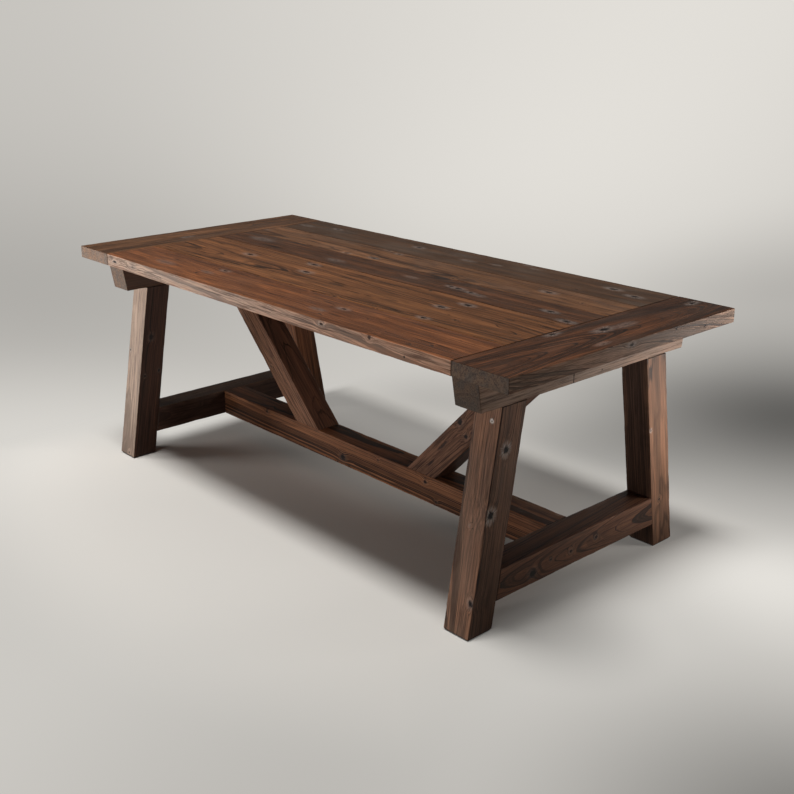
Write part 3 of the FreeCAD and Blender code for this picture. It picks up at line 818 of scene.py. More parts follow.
class Bore(NamedTuple):
    """A counterbore: the middle of its mouth, the way that it goes in, its radius and its depth."""

    mouth: Vector
    inward: Vector
    radius: float = 0.0125
    depth: float = 0.028


class Kerf(NamedTuple):
    """An old saw kerf across a narrow face: its place along the timber, the face's side, and its depth."""

    along: float
    side: float
    depth: float


@dataclass
class Timber:
    """One board or beam, sawn, eased and worn in a space of its own.

    In that space X runs along the grain, Y across the board and Z through it, from the middle of the timber.

    Attributes:
        node: The frame's node that the timber stands for, which also gives its name.
        slot: The record's slot for its finish; not used.
        size: Its length, width and thickness before the saw cuts, in metres.
        place: Its place, from its own space to the table's.
        finish: Its wood.
        cuts: Saw cuts in the table's space.
        arris: The width of its eased edges.
        wear: How deep its edges are worn.
        bow: How far its faces are out of true.
        step: The distance between its cross lines.
        bores: Counterbores for screw heads, in the table's space.
        kerfs: Its old saw kerfs.
        dark_arris: The side and level, -1 or 1 each, of an arris that has gone dark in its upper half.
    """

    ARRIS_SEGMENTS = 3
    # The distance between lines across a face, and of the first one from an edge in widths of the arris.
    FACE_STEP = 0.016
    EDGE_LINE = 1.6
    # How fine dents and chips in the edges, and waves and ripples of the faces, are along X, Y and Z.
    DENTS = Vector((22.0, 5.0, 9.0))
    CHIPS = Vector((90.0, 3.0, 4.0))
    WAVES = Vector((5.0, 12.0, 12.0))
    RIPPLES = Vector((28.0, 45.0, 45.0))
    RIPPLE_SHARE = 0.4
    SEED_STEP = Vector((3.7, 1.3, 2.1))
    # How far from an arris wear reaches, and the shares of even wear, dents and chips in its depth and look.
    WORN_REACH = 0.011
    WORN_DEPTH = Vector((0.35, 1.5, 0.6))
    WORN_LOOK = Vector((0.25, 1.3, 0.6))
    # How far a dark arris reaches, how fast it darkens along the timber, from what, and how dark it gets.
    DARK_REACH = 0.002
    DARK_RATE = 5.0
    DARK_START = 0.6
    DARK_MOST = 0.85
    # The lines that shape a kerf, half its width, and how far in from the face it is open.
    KERF_LINES = (-0.0016, -0.0008, 0.0, 0.0008, 0.0016)
    KERF_HALF = 0.001
    KERF_FACE = 0.003
    DRILL_SPARE = 0.03
    DRILL_SEGMENTS = 40
    SHARP = math.radians(50)
    TOLERANCE = 1e-6

    node: str
    slot: str
    size: Vector
    place: Matrix
    finish: StainedWood
    cuts: tuple[Plane, ...] = ()
    arris: float = 0.0016
    wear: float = 0.0009
    bow: float = 0.0003
    step: float = 0.011
    bores: tuple[Bore, ...] = ()
    kerfs: tuple[Kerf, ...] = ()
    dark_arris: tuple[float, float] | None = None

    def build(self) -> Piece:
        """Model the timber, dress it and set it in the frame.

        Returns:
            The timber's object.
        """
        shape = bmesh.new()
        bmesh.ops.create_cube(shape, size=1.0)
        bmesh.ops.scale(shape, vec=self.size, verts=shape.verts)
        self._saw(shape)
        bmesh.ops.bevel(shape, geom=shape.edges[:], offset=self.arris, offset_type="OFFSET", affect="EDGES",
                        segments=self.ARRIS_SEGMENTS, profile=0.5, material=-1, clamp_overlap=True)
        self._score(shape)
        self._age(shape)
        bmesh.ops.transform(shape, matrix=self.place, verts=shape.verts)
        bmesh.ops.recalc_face_normals(shape, faces=shape.faces)
        mesh = as_mesh(self.node, shape)
        mesh.shade_smooth()
        piece = into_scene(f"{self.node}_timber", mesh)
        self._bore(piece)
        self.finish.dress(piece, self.place)
        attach(piece, "root")
        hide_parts(self.node)
        log.info("%s: %d faces", piece.name, len(piece.data.polygons))
        return piece

    def _bore(self, piece: Piece) -> None:
        """Cut the counterbores.

        Args:
            piece: The timber's object.
        """
        if not self.bores:
            return
        drill = bmesh.new()
        for bore in self.bores:
            turn = bore.inward.to_track_quat("Z", "Y").to_matrix().to_4x4()
            long = bore.depth + self.DRILL_SPARE
            middle = bore.mouth + bore.inward * (bore.depth - long / 2)
            bmesh.ops.create_cone(drill, cap_ends=True, segments=self.DRILL_SEGMENTS, radius1=bore.radius,
                                  radius2=bore.radius, depth=long, matrix=Matrix.Translation(middle) @ turn)
        tool = into_scene("drill", as_mesh("drill", drill))
        cut = piece.modifiers.new("bores", "BOOLEAN")
        cut.operation = "DIFFERENCE"
        cut.solver = "EXACT"
        cut.object = tool
        graph = bpy.context.evaluated_depsgraph_get()
        bored = bpy.data.meshes.new_from_object(piece.evaluated_get(graph), depsgraph=graph)
        piece.modifiers.clear()
        piece.data = bored
        bored.name = self.node
        bored.shade_smooth()
        bored.set_sharp_from_angle(angle=self.SHARP)
        bpy.data.objects.remove(tool)

    def _saw(self, shape: Shape) -> None:
        """Cut the block to its ends.

        Args:
            shape: The block.
        """
        inward = self.place.inverted()
        for cut in self.cuts:
            result = self._slice(shape, inward @ cut.point, inward.to_3x3() @ cut.waste, clear=True)
            edges = [item for item in result["geom_cut"] if isinstance(item, bmesh.types.BMEdge)]
            bmesh.ops.edgeloop_fill(shape, edges=edges)

    def _score(self, shape: Shape) -> None:
        """Divide the faces, close beside the edges and evenly between them.

        Args:
            shape: The block.
        """
        near = self.arris * self.EDGE_LINE
        for axis, step in ((1, self.FACE_STEP), (2, self.FACE_STEP), (0, self.step)):
            low = min(vert.co[axis] for vert in shape.verts) + near
            high = max(vert.co[axis] for vert in shape.verts) - near
            count = max(1, round((high - low) / step))
            normal = Vector((0.0, 0.0, 0.0))
            normal[axis] = 1.0
            for number in range(count + 1):
                self._slice(shape, normal * (low + (high - low) * number / count), normal)
        for kerf in self.kerfs:
            for offset in self.KERF_LINES:
                self._slice(shape, Vector((kerf.along + offset, 0.0, 0.0)), Vector((1.0, 0.0, 0.0)))

    def _slice(self, shape: Shape, point: Vector, normal: Vector, clear: bool = False) -> dict[str, list]:
        """Divide all faces along one plane, and cut off what lies beyond it if asked."""
        return bmesh.ops.bisect_plane(
            shape, geom=shape.verts[:] + shape.edges[:] + shape.faces[:], dist=self.TOLERANCE,
            plane_co=point, plane_no=normal, clear_outer=clear)

    def _age(self, shape: Shape) -> None:
        """Bow the faces, wear the edges and note where they are worn.

        Args:
            shape: The divided block.
        """
        worn = shape.verts.layers.float.new("worn")
        split = shape.verts.layers.float.new("split")
        half = self.size / 2
        shift = self.SEED_STEP * self.finish.seed

        def uneven(scale: Vector, *place: float) -> float:
            """Read a soft noise that no other timber shares."""
            return noise.noise(scale * Vector(place) + shift)

        for vert in shape.verts:
            x, y, z = vert.co
            side, level = math.copysign(1.0, y), math.copysign(1.0, z)
            corner = math.hypot(half.y - abs(y), half.z - abs(z))
            close = max(0.0, 1.0 - corner / self.WORN_REACH)
            dents = max(0.0, uneven(self.DENTS, x, side, level))
            chips = max(0.0, uneven(self.CHIPS, x, side, level))
            rubbed = Vector((1.0, dents, chips))
            pull = self.wear * close * close * self.WORN_DEPTH.dot(rubbed)
            wave = self.bow * uneven(self.WAVES, x, y, z)
            lift = self.bow * self.RIPPLE_SHARE * uneven(self.RIPPLES, x, y, z)
            vert.co.y = y - side * pull - side * abs(y) / half.y * abs(wave)
            vert.co.z = z - level * pull - level * abs(z) / half.z * abs(wave + lift)
            vert[worn] = min(1.0, close * self.WORN_LOOK.dot(rubbed))
            if (side, level) == self.dark_arris and corner < self.DARK_REACH:
                vert[split] = min(self.DARK_MOST, max(0.0, x * self.DARK_RATE + self.DARK_START))
            for kerf in self.kerfs:
                if abs(x - kerf.along) < self.KERF_HALF and y * kerf.side > half.y - self.KERF_FACE:
                    vert.co.y -= kerf.side * kerf.depth
                    vert[split] = 1.0


def lay(middle: Vector, turn: tuple[float, float, float] = (0.0, 0.0, 0.0)) -> Matrix:
    """Give the place of a timber from its middle and its turn about X, Y and Z."""
    return Matrix.Translation(middle) @ Euler(turn).to_matrix().to_4x4()


class End(Enum):
    """Ends of the table, with the sign of their side."""

    LEFT = -1.0
    RIGHT = 1.0

    @property
    def word(self) -> str:
        """Give the word for it in the names of nodes."""
        return self.name.lower()


@dataclass
class Tabletop:
    """The planks and the breadboard ends.

    Attributes:
        woods: The wood of each board.
        planks: The number of planks.
        gap: Half the width of an open seam.
        arris: The width of the boards' eased edges.
        wear: How deep their edges are worn.
        bow: How far their faces are out of true.
        step: The distance between their cross lines.
    """

    woods: dict[str, StainedWood]
    planks: int = 5
    gap: float = 0.0007
    arris: float = 0.0014
    wear: float = 0.0007
    bow: float = 0.0002
    step: float = 0.013

    def build(self) -> list[Piece]:
        """Model the planks and the breadboard ends.

        Returns:
            The boards.
        """
        ends = [f"breadboard_{end.word}" for end in End]
        left, right = (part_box(node) for node in ends)
        boards = []
        for number in range(1, self.planks + 1):
            node = f"top_plank_{number}"
            low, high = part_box(node)
            size = Vector((right[0].x - left[1].x, high.y - low.y, high.z - low.z))
            middle = Vector((0.0, (low.y + high.y) / 2, (low.z + high.z) / 2))
            boards.append(self._board(node, size, lay(middle)))
        for node, (low, high) in zip(ends, (left, right)):
            size = Vector((high.y - low.y, high.x - low.x, high.z - low.z))
            boards.append(self._board(node, size, lay((low + high) / 2, ALONG_Y)))
        return boards

    def _board(self, node: str, size: Vector, place: Matrix) -> Piece:
        """Model one board, short of its neighbours by the gap.

        Args:
            node: The board's node.
            size: The room that it has.
            place: Its place.

        Returns:
            The board.
        """
        inner = size - Vector((2 * self.gap, 2 * self.gap, CLEAR))
        raised = Matrix.Translation(UP * CLEAR / 2) @ place
        return Timber(node, "tabletop_wood", inner, raised, self.woods[node], arris=self.arris,
                      wear=self.wear, bow=self.bow, step=self.step).build()


@dataclass
class Trestle:
    """One cap with its two splayed legs and their rail.

    Attributes:
        end: The end of the table that it carries.
        woods: The wood of each timber.
        splay: The legs' lean, in radians.
        screw_reach: How far the cap's outer screws are from its middle.
        spare: How much longer a beam is before its ends are sawn.
        kerf: The old saw kerf in the right cap.
        dark_leg: The leg with an arris that has gone dark, and that arris's side and level.
    """

    end: End
    woods: dict[str, StainedWood]
    splay: float = math.radians(9.8)
    screw_reach: float = 0.385
    spare: float = 0.02
    kerf: Kerf = Kerf(-0.071, -1.0, 0.0012)
    dark_leg: tuple[str, tuple[float, float]] = ("leg_front_right", (-1.0, -1.0))

    def __post_init__(self) -> None:
        """Read the cap's place and the legs' level width from the frame."""
        self.cap_low, self.cap_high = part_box(f"cap_{self.end.word}")
        low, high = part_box(f"leg_back_{self.end.word}")
        self.leg_across = high.y - low.y - (self.cap_low.z - low.z) * math.tan(self.splay)

    def build(self) -> list[Piece]:
        """Model the cap, the legs and the rail.

        Returns:
            The timbers.
        """
        cap, rail = f"cap_{self.end.word}", f"rail_{self.end.word}"
        first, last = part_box(f"{cap}_washers")
        bores = tuple(Bore(Vector(((first.x + last.x) / 2, y, self.cap_low.z)), UP)
                      for y in (-self.screw_reach, 0.0, self.screw_reach))
        kerfs = (self.kerf,) if self.end is End.RIGHT else ()
        timbers = [self._cross(cap, self.cap_low, self.cap_high, 1.0, bores, kerfs)]
        timbers += [self._leg(row, sign) for row, sign in (("front", -1.0), ("back", 1.0))]
        low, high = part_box(rail)
        reach = self._leg_face(low.z)
        low, high = Vector((low.x, -reach, low.z)), Vector((high.x, reach, high.z))
        timbers.append(self._cross(rail, low, high, -1.0))
        return timbers

    def _leg_face(self, height: float) -> float:
        """Find a leg's inner face.

        Args:
            height: The height at which it is looked for.

        Returns:
            Its distance from the middle of the table.
        """
        low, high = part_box(f"foot_pad_back_{self.end.word}")
        inner = (low.y + high.y) / 2 - self.leg_across / 2
        return inner - (height - high.z) * math.tan(self.splay)

    def _cross(self, node: str, low: Vector, high: Vector, lean: float, bores: tuple[Bore, ...] = (),
               kerfs: tuple[Kerf, ...] = ()) -> Piece:
        """Model a beam across the table with slanted ends.

        Args:
            node: The beam's node.
            low: Its lowest corner.
            high: Its highest corner.
            lean: 1 where the ends lean out as they rise, -1 where they lean in.
            bores: Its counterbores.
            kerfs: Its old saw kerfs.

        Returns:
            The beam.
        """
        size = Vector((high.y - low.y + self.spare, high.x - low.x, high.z - low.z - CLEAR))
        corner = high.z if lean > 0 else low.z
        cuts = tuple(Plane(Vector((0.0, sign * high.y, corner)),
                           Vector((0.0, sign * math.cos(self.splay), -lean * math.sin(self.splay))))
                     for sign in (-1.0, 1.0))
        place = lay((low + high) / 2 + UP * CLEAR / 2, ALONG_Y)
        return Timber(node, "frame_wood", size, place, self.woods[node], cuts=cuts, bores=bores,
                      kerfs=kerfs).build()

    def _leg(self, row: str, sign: float) -> Piece:
        """Model one splayed leg, cut level at foot and head.

        Args:
            row: The leg's row, front or back.
            sign: -1 for the front, 1 for the back.

        Returns:
            The leg.
        """
        node = f"leg_{row}_{self.end.word}"
        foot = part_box(f"foot_pad_{row}_{self.end.word}")[1].z
        head = self.cap_low.z
        depth = self.leg_across * math.cos(self.splay)
        length = (head - foot) / math.cos(self.splay) + depth
        height = (foot + head) / 2
        y = sign * (self._leg_face(height) + self.leg_across / 2)
        middle = Vector(((self.cap_low.x + self.cap_high.x) / 2, y, height))
        upright = Euler((0.0, -math.pi / 2, 0.0)).to_matrix().to_4x4()
        place = lay(middle, (sign * self.splay, 0.0, 0.0)) @ upright
        cuts = (Plane(UP * foot, -UP), Plane(UP * head, UP))
        dark = self.dark_leg[1] if node == self.dark_leg[0] else None
        size = Vector((length, depth, self.cap_high.x - self.cap_low.x))
        return Timber(node, "frame_wood", size, place, self.woods[node], cuts=cuts, dark_arris=dark).build()


@dataclass
class Understructure:
    """The stretcher between the trestles and the two braces on it.

    Attributes:
        woods: The wood of each timber.
        slope: The braces' angle, in radians.
        slack: How much thinner the braces are than the legs.
        head_bore: The depth of the bores for the braces' head screws.
    """

    woods: dict[str, StainedWood]
    slope: float = math.radians(45.8)
    slack: float = 0.001
    head_bore: float = 0.045

    def __post_init__(self) -> None:
        """Read the stretcher's place and the caps' inner faces from the frame."""
        self.low, self.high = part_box("stretcher")
        self.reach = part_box("cap_right")[0].x

    def build(self) -> list[Piece]:
        """Model the stretcher and the braces.

        Returns:
            The timbers.
        """
        size = Vector((2 * self.reach, self.high.y - self.low.y, self.high.z - self.low.z))
        first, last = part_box("brace_foot_washers")
        feet = last.x - (last.y - first.y) / 2
        bores = tuple(Bore(Vector((end.value * feet, 0.0, self.low.z)), UP) for end in End)
        stretcher = Timber("stretcher", "frame_wood", size, lay(UP * (self.low.z + self.high.z) / 2),
                           self.woods["stretcher"], bores=bores)
        return [stretcher.build()] + [self._brace(end) for end in End]

    def _brace(self, end: End) -> Piece:
        """Model one brace, cut to the stretcher, the cap and the top.

        Args:
            end: The end that it leans to.

        Returns:
            The brace.
        """
        node, sign, foot = f"brace_{end.word}", end.value, self.high.z
        low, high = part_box(node)
        leg_low, leg_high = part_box("leg_back_right")
        depth = leg_high.x - leg_low.x - self.slack
        rise = high.z - foot
        inner = min(abs(low.x), abs(high.x))
        middle = inner + depth / math.sin(self.slope) / 2 + rise / 2 / math.tan(self.slope)
        place = lay(Vector((sign * middle, 0.0, foot + rise / 2)), (0.0, -sign * self.slope, 0.0))
        outward = Vector((sign, 0.0, 0.0))
        cuts = (Plane(UP * foot, -UP), Plane(UP * high.z, UP), Plane(outward * self.reach, outward))
        first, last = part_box("brace_head_washers")
        mouth = Vector((sign * (last.x - self.head_bore), 0.0, (first.z + last.z) / 2))
        size = Vector((rise / math.sin(self.slope) + 2 * depth, self.high.y - self.low.y, depth))
        return Timber(node, "frame_wood", size, place, self.woods[node], cuts=cuts,
                      bores=(Bore(mouth, outward, depth=self.head_bore),)).build()


@dataclass
class Fixings:
    """The hidden splines and pegs, the screws with their washers, and the pads under the feet.

    Attributes:
        finishes: The finish of each slot.
    """

    finishes: dict[str, CarriedFinish] = field(default_factory=lambda: {
        "joint_wood": BareWood(), "screw_steel": ZincSteel(), "pad_plastic": PadPlastic()})

    def dress(self) -> None:
        """Give every carried-over piece its finish."""
        for slot, finish in self.finishes.items():
            parts = [part for part in frame["record"]["subparts"] if part["material_slot"] == slot]
            finish.dress([frame["nodes"][part["node"]] for part in parts])
            for part in parts:
                log.info("%s: %s", part["node"], finish.NAME)


class Lamp(NamedTuple):
    """A softbox: its name, place, aim, width and height, power in watts, colour, and its beam in radians."""

    name: str
    spot: tuple[float, float, float]
    aim: tuple[float, float, float]
    size: tuple[float, float]
    power: float
    colour: Colour
    spread: float = math.pi


class Pool(NamedTuple):
    """A soft pool of painted light on the floor, or of painted shade where its gain is negative: its place,
    its radius and its gain.
    """

    x: float
    y: float
    radius: float
    gain: float


@dataclass
class Studio:
    """The pale floor, the soft lights and the camera.

    Attributes:
        eye: The camera's place.
        tilt: The camera's turn about X, in degrees.
        turn: The camera's turn about Z, in degrees.
        lens: The focal length, in millimetres.
        sensor: The sensor's width, in millimetres.
        floor_radius: The floor's radius.
        horizon: How far off the horizon is in the painted backdrop.
        floor_light: The floor's lighter colour.
        floor_dark: The floor's darker colour.
        paint: The colour of the painted light.
        paint_level: How bright the painted light is between the pools.
        air_tone: The colour of the light from all around.
        air_level: How bright that light is.
        pools: The pools of painted light and painted shade, some of which paint part of the table's shadow.
        lamps: The softboxes.
    """

    # The floor's outline, the scale of its clouds, and its surface.
    FLOOR_SEGMENTS = 96
    FLOOR_SCALE = (0.7, 0.7, 0.7)
    FLOOR_SURFACE = {"Roughness": 0.85, "Specular IOR Level": 0.1}
    # Where the paint takes over from the lit floor: beyond an oval, and past lines across X and Y.
    OVAL_SHAPE = (0.8, 1.0, 0.0)
    OVAL_EDGE = (0.9, 1.35)
    RIGHT_EDGE = (0.8, 1.2)
    LEFT_EDGE = (-0.93, -1.3)
    BACK_EDGE = (0.5, 0.85)
    # Where it also does, painting over part of the table's shadow: past the left trestle but not before it,
    # and in part at the back, more at the left.
    INSIDE_X_EDGE = (-0.83, -0.97)
    INSIDE_Y_EDGE = (-0.4, -0.2)
    BEHIND_X_EDGE = (-0.3, 0.5)
    BEHIND_Y_EDGE = (-0.08, 0.5)
    BEHIND_SHARE = (0.48, 0.2)
    # The heights of the view between which the wall grows dim, and its light at both.
    DIM_EDGE = (0.05, 0.4)
    DIM_RANGE = (1.0, 0.1)

    eye: tuple[float, float, float] = (2.6625, -2.3108, 1.5652)
    tilt: float = 70.852
    turn: float = 47.634
    lens: float = 50.777
    sensor: float = 36.0
    floor_radius: float = 900.0
    horizon: float = 4.0
    floor_light: Colour = tone((217, 214, 209))
    floor_dark: Colour = tone((212, 210, 206))
    paint: Colour = (1.0, 0.968, 0.91)
    paint_level: float = 0.60
    air_tone: Colour = tone((228, 226, 222))
    air_level: float = 0.015
    # The pools at (0.2, 0.75), (-0.5, 0.8) and (1.0, -0.22) are painted shade: part of the table's soft
    # shadow on the floor.
    pools: tuple[Pool, ...] = (
        Pool(0.56, 1.6, 1.35, -0.48), Pool(1.85, -0.45, 0.8, -0.45), Pool(-2.7, 0.3, 2.2, -0.17),
        Pool(-2.2, 3.2, 2.2, 0.16), Pool(1.1, -1.1, 0.9, -0.1), Pool(-1.2, -0.6, 1.2, 0.1),
        Pool(-0.35, 2.75, 1.1, -0.15), Pool(1.2, 0.42, 0.45, 0.17), Pool(0.2, 0.75, 0.6, -0.1),
        Pool(-0.5, 0.8, 0.5, -0.12), Pool(1.0, -0.22, 0.28, -0.2))
    lamps: tuple[Lamp, ...] = (
        Lamp("overhead", (0.3, -2.4, 15.0), (0.0, 0.0, 0.5), (6.0, 2.6), 1830.0, (1.0, 0.99, 0.97)),
        Lamp("side", (-1.9, -1.5, 0.33), (-0.8, -0.4, 0.55), (0.5, 0.5), 22.0, (1.0, 0.97, 0.94)),
        Lamp("front", (0.05, -3.3, 0.42), (0.15, 0.0, 0.35), (0.4, 0.7), 27.0, (1.0, 0.98, 0.96)),
        Lamp("end", (1.6, 0.95, 0.5), (0.93, 0.44, 0.48), (0.4, 0.4), 2.8, (1.0, 0.96, 0.92), 1.05),
        Lamp("back", (-1.6, 3.4, 0.24), (0.0, 0.0, 0.45), (0.8, 0.3), 9.5, (1.0, 0.99, 0.97)))

    def build(self) -> None:
        """Set up the floor, the light and the camera."""
        self._camera()
        self._floor()
        self._world()
        for lamp in self.lamps:
            self._hang(lamp)
        bpy.context.scene.view_settings.view_transform = "Standard"

    def _camera(self) -> None:
        """Place the camera where the photograph was taken from."""
        data = bpy.data.cameras.new("camera")
        data.sensor_width = self.sensor
        data.lens = self.lens
        camera = into_scene("camera", data)
        camera.location = self.eye
        camera.rotation_euler = (math.radians(self.tilt), 0.0, math.radians(self.turn))
        bpy.context.scene.camera = camera

    def _floor(self) -> None:
        """Lay the floor, lit near the table and painted further off, with part of the table's soft shadow
        painted too.
        """
        shape = bmesh.new()
        bmesh.ops.create_circle(shape, cap_ends=True, segments=self.FLOOR_SEGMENTS,
                                radius=self.floor_radius)
        floor = into_scene("floor", as_mesh("floor", shape))
        material, graph, shader = new_material("pale_floor")
        spot = graph.spot()
        cloud = graph.noise(spot, self.FLOOR_SCALE, detail=2.0)["Fac"]
        graph.fill(shader, {"Base Color": graph.mix(cloud, self.floor_light, self.floor_dark),
                            **self.FLOOR_SURFACE})
        reach = graph.measure("LENGTH", spot)
        square = graph.times(reach, reach)
        squeeze = graph.math("SQRT", graph.math("MULTIPLY_ADD", square, self.horizon ** -2, 1.0))
        paint = self._glow(graph, graph.scaled(spot, graph.math("DIVIDE", 1.0, squeeze)), 1.0)
        backdrop = graph.add("Emission", {"Color": paint, "Strength": 1.0})
        # The paint takes over further off, past both ends and at the back, partly over the table's soft
        # shadow, which is painted there.
        x, y = graph.part(spot, "X"), graph.part(spot, "Y")
        oval = graph.measure("LENGTH", graph.vector("MULTIPLY", spot, self.OVAL_SHAPE))
        partly = graph.step(x, *self.BEHIND_X_EDGE, *self.BEHIND_SHARE)
        behind = graph.times(graph.step(y, *self.BEHIND_Y_EDGE), partly)
        inside = graph.times(graph.step(x, *self.INSIDE_X_EDGE), graph.step(y, *self.INSIDE_Y_EDGE))
        share = graph.step(oval, *self.OVAL_EDGE)
        for more in (graph.step(x, *self.RIGHT_EDGE), graph.step(x, *self.LEFT_EDGE),
                     graph.step(y, *self.BACK_EDGE), inside, behind):
            share = graph.most(more, share)
        blend = {0: graph.times(share, graph.seen()), 1: shader.outputs[0], 2: backdrop.outputs[0]}
        surface = graph.add("MixShader", blend).outputs[0]
        graph.fill(graph.tree.nodes["Material Output"], {"Surface": surface})
        floor.data.materials.append(material)

    def _glow(self, graph: Graph, folded: Socket, share: Value) -> Socket:
        """Paint the soft pools of light and shade on the floor, part of the table's shadow among them, and
        the wall behind it.

        Args:
            graph: The graph of the material or world.
            folded: The place on the floor, drawn in so that the horizon is at a fixed distance.
            share: How much of the light is left.

        Returns:
            The light's colour.
        """
        light: Value = self.paint_level
        for x, y, radius, gain in self.pools:
            away = graph.measure("DISTANCE", folded, (x, y, 0.0))
            light = graph.plus(graph.step(away, 0.0, radius, gain, 0.0), light)
        return graph.scaled(self.paint, graph.times(light, share))

    def _world(self) -> None:
        """Light the studio's air, and paint the wall that the camera sees."""
        world = bpy.data.worlds.new("studio")
        bpy.context.scene.world = world
        world.use_nodes = True
        graph = Graph(world.node_tree)
        air = graph.tree.nodes["Background"]
        graph.fill(air, {"Color": self.air_tone, "Strength": self.air_level})
        way = graph.add("TexCoord", {}).outputs["Generated"]
        level = graph.vector("NORMALIZE", graph.vector("MULTIPLY", way, (1.0, 1.0, 0.0)))
        dim = graph.step(graph.part(way, "Z"), *self.DIM_EDGE, *self.DIM_RANGE)
        paint = self._glow(graph, graph.scaled(level, self.horizon), dim)
        wall = graph.add("Background", {"Color": paint, "Strength": 1.0})
        blend = graph.add("MixShader", {0: graph.seen(), 1: air.outputs[0], 2: wall.outputs[0]})
        graph.fill(graph.tree.nodes["World Output"], {"Surface": blend.outputs[0]})

    @staticmethod
    def _hang(lamp: Lamp) -> None:
        """Hang one softbox.

        Args:
            lamp: The softbox.
        """
        data = bpy.data.lights.new(lamp.name, "AREA")
        data.shape = "RECTANGLE"
        data.size, data.size_y = lamp.size
        data.energy = lamp.power
        data.color = lamp.colour
        data.spread = lamp.spread
        item = into_scene(lamp.name, data)
        item.location = lamp.spot
        item.visible_camera = False
        item.rotation_euler = (Vector(lamp.aim) - Vector(lamp.spot)).to_track_quat("-Z", "Y").to_euler()


# The wood of the tabletop's boards, by node.
TABLETOP_WOODS = {
    # The front face's own tone is partly real weathering and partly a painted highlight, stronger towards
    # the left end where the light is strongest; fade also paints the plank lighter towards the left end.
    "top_plank_1": StainedWood(
        Stain.CHESTNUT, (150, -85), 1, spacing=8, contrast=1.05, taper=0.03, weather=0.2, threads=1,
        sheen=0.1, fibre=1.6, thin=0.5, edge_side=-1, edge_share=(0.9, 0.46), ripple=0.9,
        fade=(1.26, 0.98), blemishes=marks(
            Side.TOP, eye=((-340, -323, 8), (292, -352, 8)),
            patch=((-368, -376, 8), (-584, -396, 12), (245, -408, 8)),
            knot=((-384, -408, 4), (286, -435, 4), (672, -451, 3), (720, -419, 4), (72, -290, 5),
                  (420, -372, 3)),
            nail=((740, -336, 3), (60, -330, 4), (-40, -462, 4), (-150, -395, 3), (545, -420, 3)),
        ) + marks(
            Side.FRONT, eye=((-791, -475, 741, 7), (342, -475, 751, 5)), knot=((541, -475, 755, 7),),
            nail=((676, -475, 733, 4), (-495, -475, 736, 3)), patch=((-673, -475, 743, 6),))),
    # Painted light: fade makes this plank lighter towards its left end and darker towards its right end.
    "top_plank_2": StainedWood(
        Stain.HONEY, (-40, -70), 2, spacing=9, contrast=1.15, thin=0.5, fibre=1.2, taper=0.03, wander=14,
        weather=0.15, threads=1, fade=(1.16, 0.86), blemishes=marks(
            Side.TOP, eye=((498, -62, 10), (460, -132, 9), (512, -251, 8), (-218, -54, 10), (-495, -116, 11),
                           (-152, -139, 11)),
            knot=((300, -20, 6), (588, -204, 5), (156, -275, 7), (352, -279, 4)),
            streak=((688, -92, 4), (220, -200, 3)), nail=((-330, -60, 3), (20, -180, 3), (640, -150, 3)))),
    "top_plank_3": StainedWood(
        Stain.UMBER, (60, -60), 3, spacing=9, contrast=1.3, thin=0.5, fibre=1.6, weather=0.3, threads=1,
        blemishes=marks(
            Side.TOP, eye=((336, 62, 10), (304, 64, 7), (400, 52, 7), (704, 58, 9), (804, 8, 10)),
            patch=((436, 44, 8), (-688, 76, 15), (-224, 44, 10), (130, 60, 7)),
            streak=((400, 100, 4),), nail=((610, 90, 3),))),
    "top_plank_4": StainedWood(
        Stain.TAN, (-50, -60), 4, spacing=9, contrast=1.2, fibre=1.5, weather=0.3, threads=0.9,
        blemishes=marks(
            Side.TOP, eye=((556, 226, 10), (-152, 266, 6), (-164, 160, 8), (-224, 284, 6), (-292, 146, 7)),
            knot=((706, 196, 4), (232, 144, 5)), patch=((-840, 200, 8),), nail=((60, 200, 3),))),
    "top_plank_5": StainedWood(
        Stain.ASH, (10, -110), 5, spacing=8, contrast=0.5, weather=0.4, threads=0.4, edge_side=1,
        blemishes=marks(
            Side.TOP, eye=((-650, 404, 8), (-188, 396, 9), (660, 402, 10), (760, 373, 10)),
            knot=((466, 368, 5), (588, 316, 5)),
            patch=((-792, 364, 9), (80, 368, 8), (192, 388, 6), (272, 460, 6), (320, 436, 6)))),
    "breadboard_right": StainedWood(
        Stain.WALNUT, (-10, -45), 6, spacing=8, contrast=1.5, taper=0.08, wander=12, weather=0.3, fibre=1.6,
        edge_side=-1, edge_share=(0.35, 0.5), ripple=0.75, blemishes=marks(
            Side.TOP, eye=((918, 434, 9), (920, 21, 13), (858, -115, 9)),
            patch=((930, 100, 11), (1000, -88, 7)),
        ) + marks(Side.RIGHT, eye=((1032, -9, 750, 6),), nail=((1032, 325, 738, 4), (1032, 188, 756, 5)))),
    "breadboard_left": StainedWood(
        Stain.TAN, (25, -70), 7, spacing=8, contrast=1.3, weather=0.2, fibre=1.6, butt=2.6, edge_side=1,
        blemishes=marks(Side.TOP, eye=((-912, -104, 8),), knot=((-950, 240, 5),))),
}

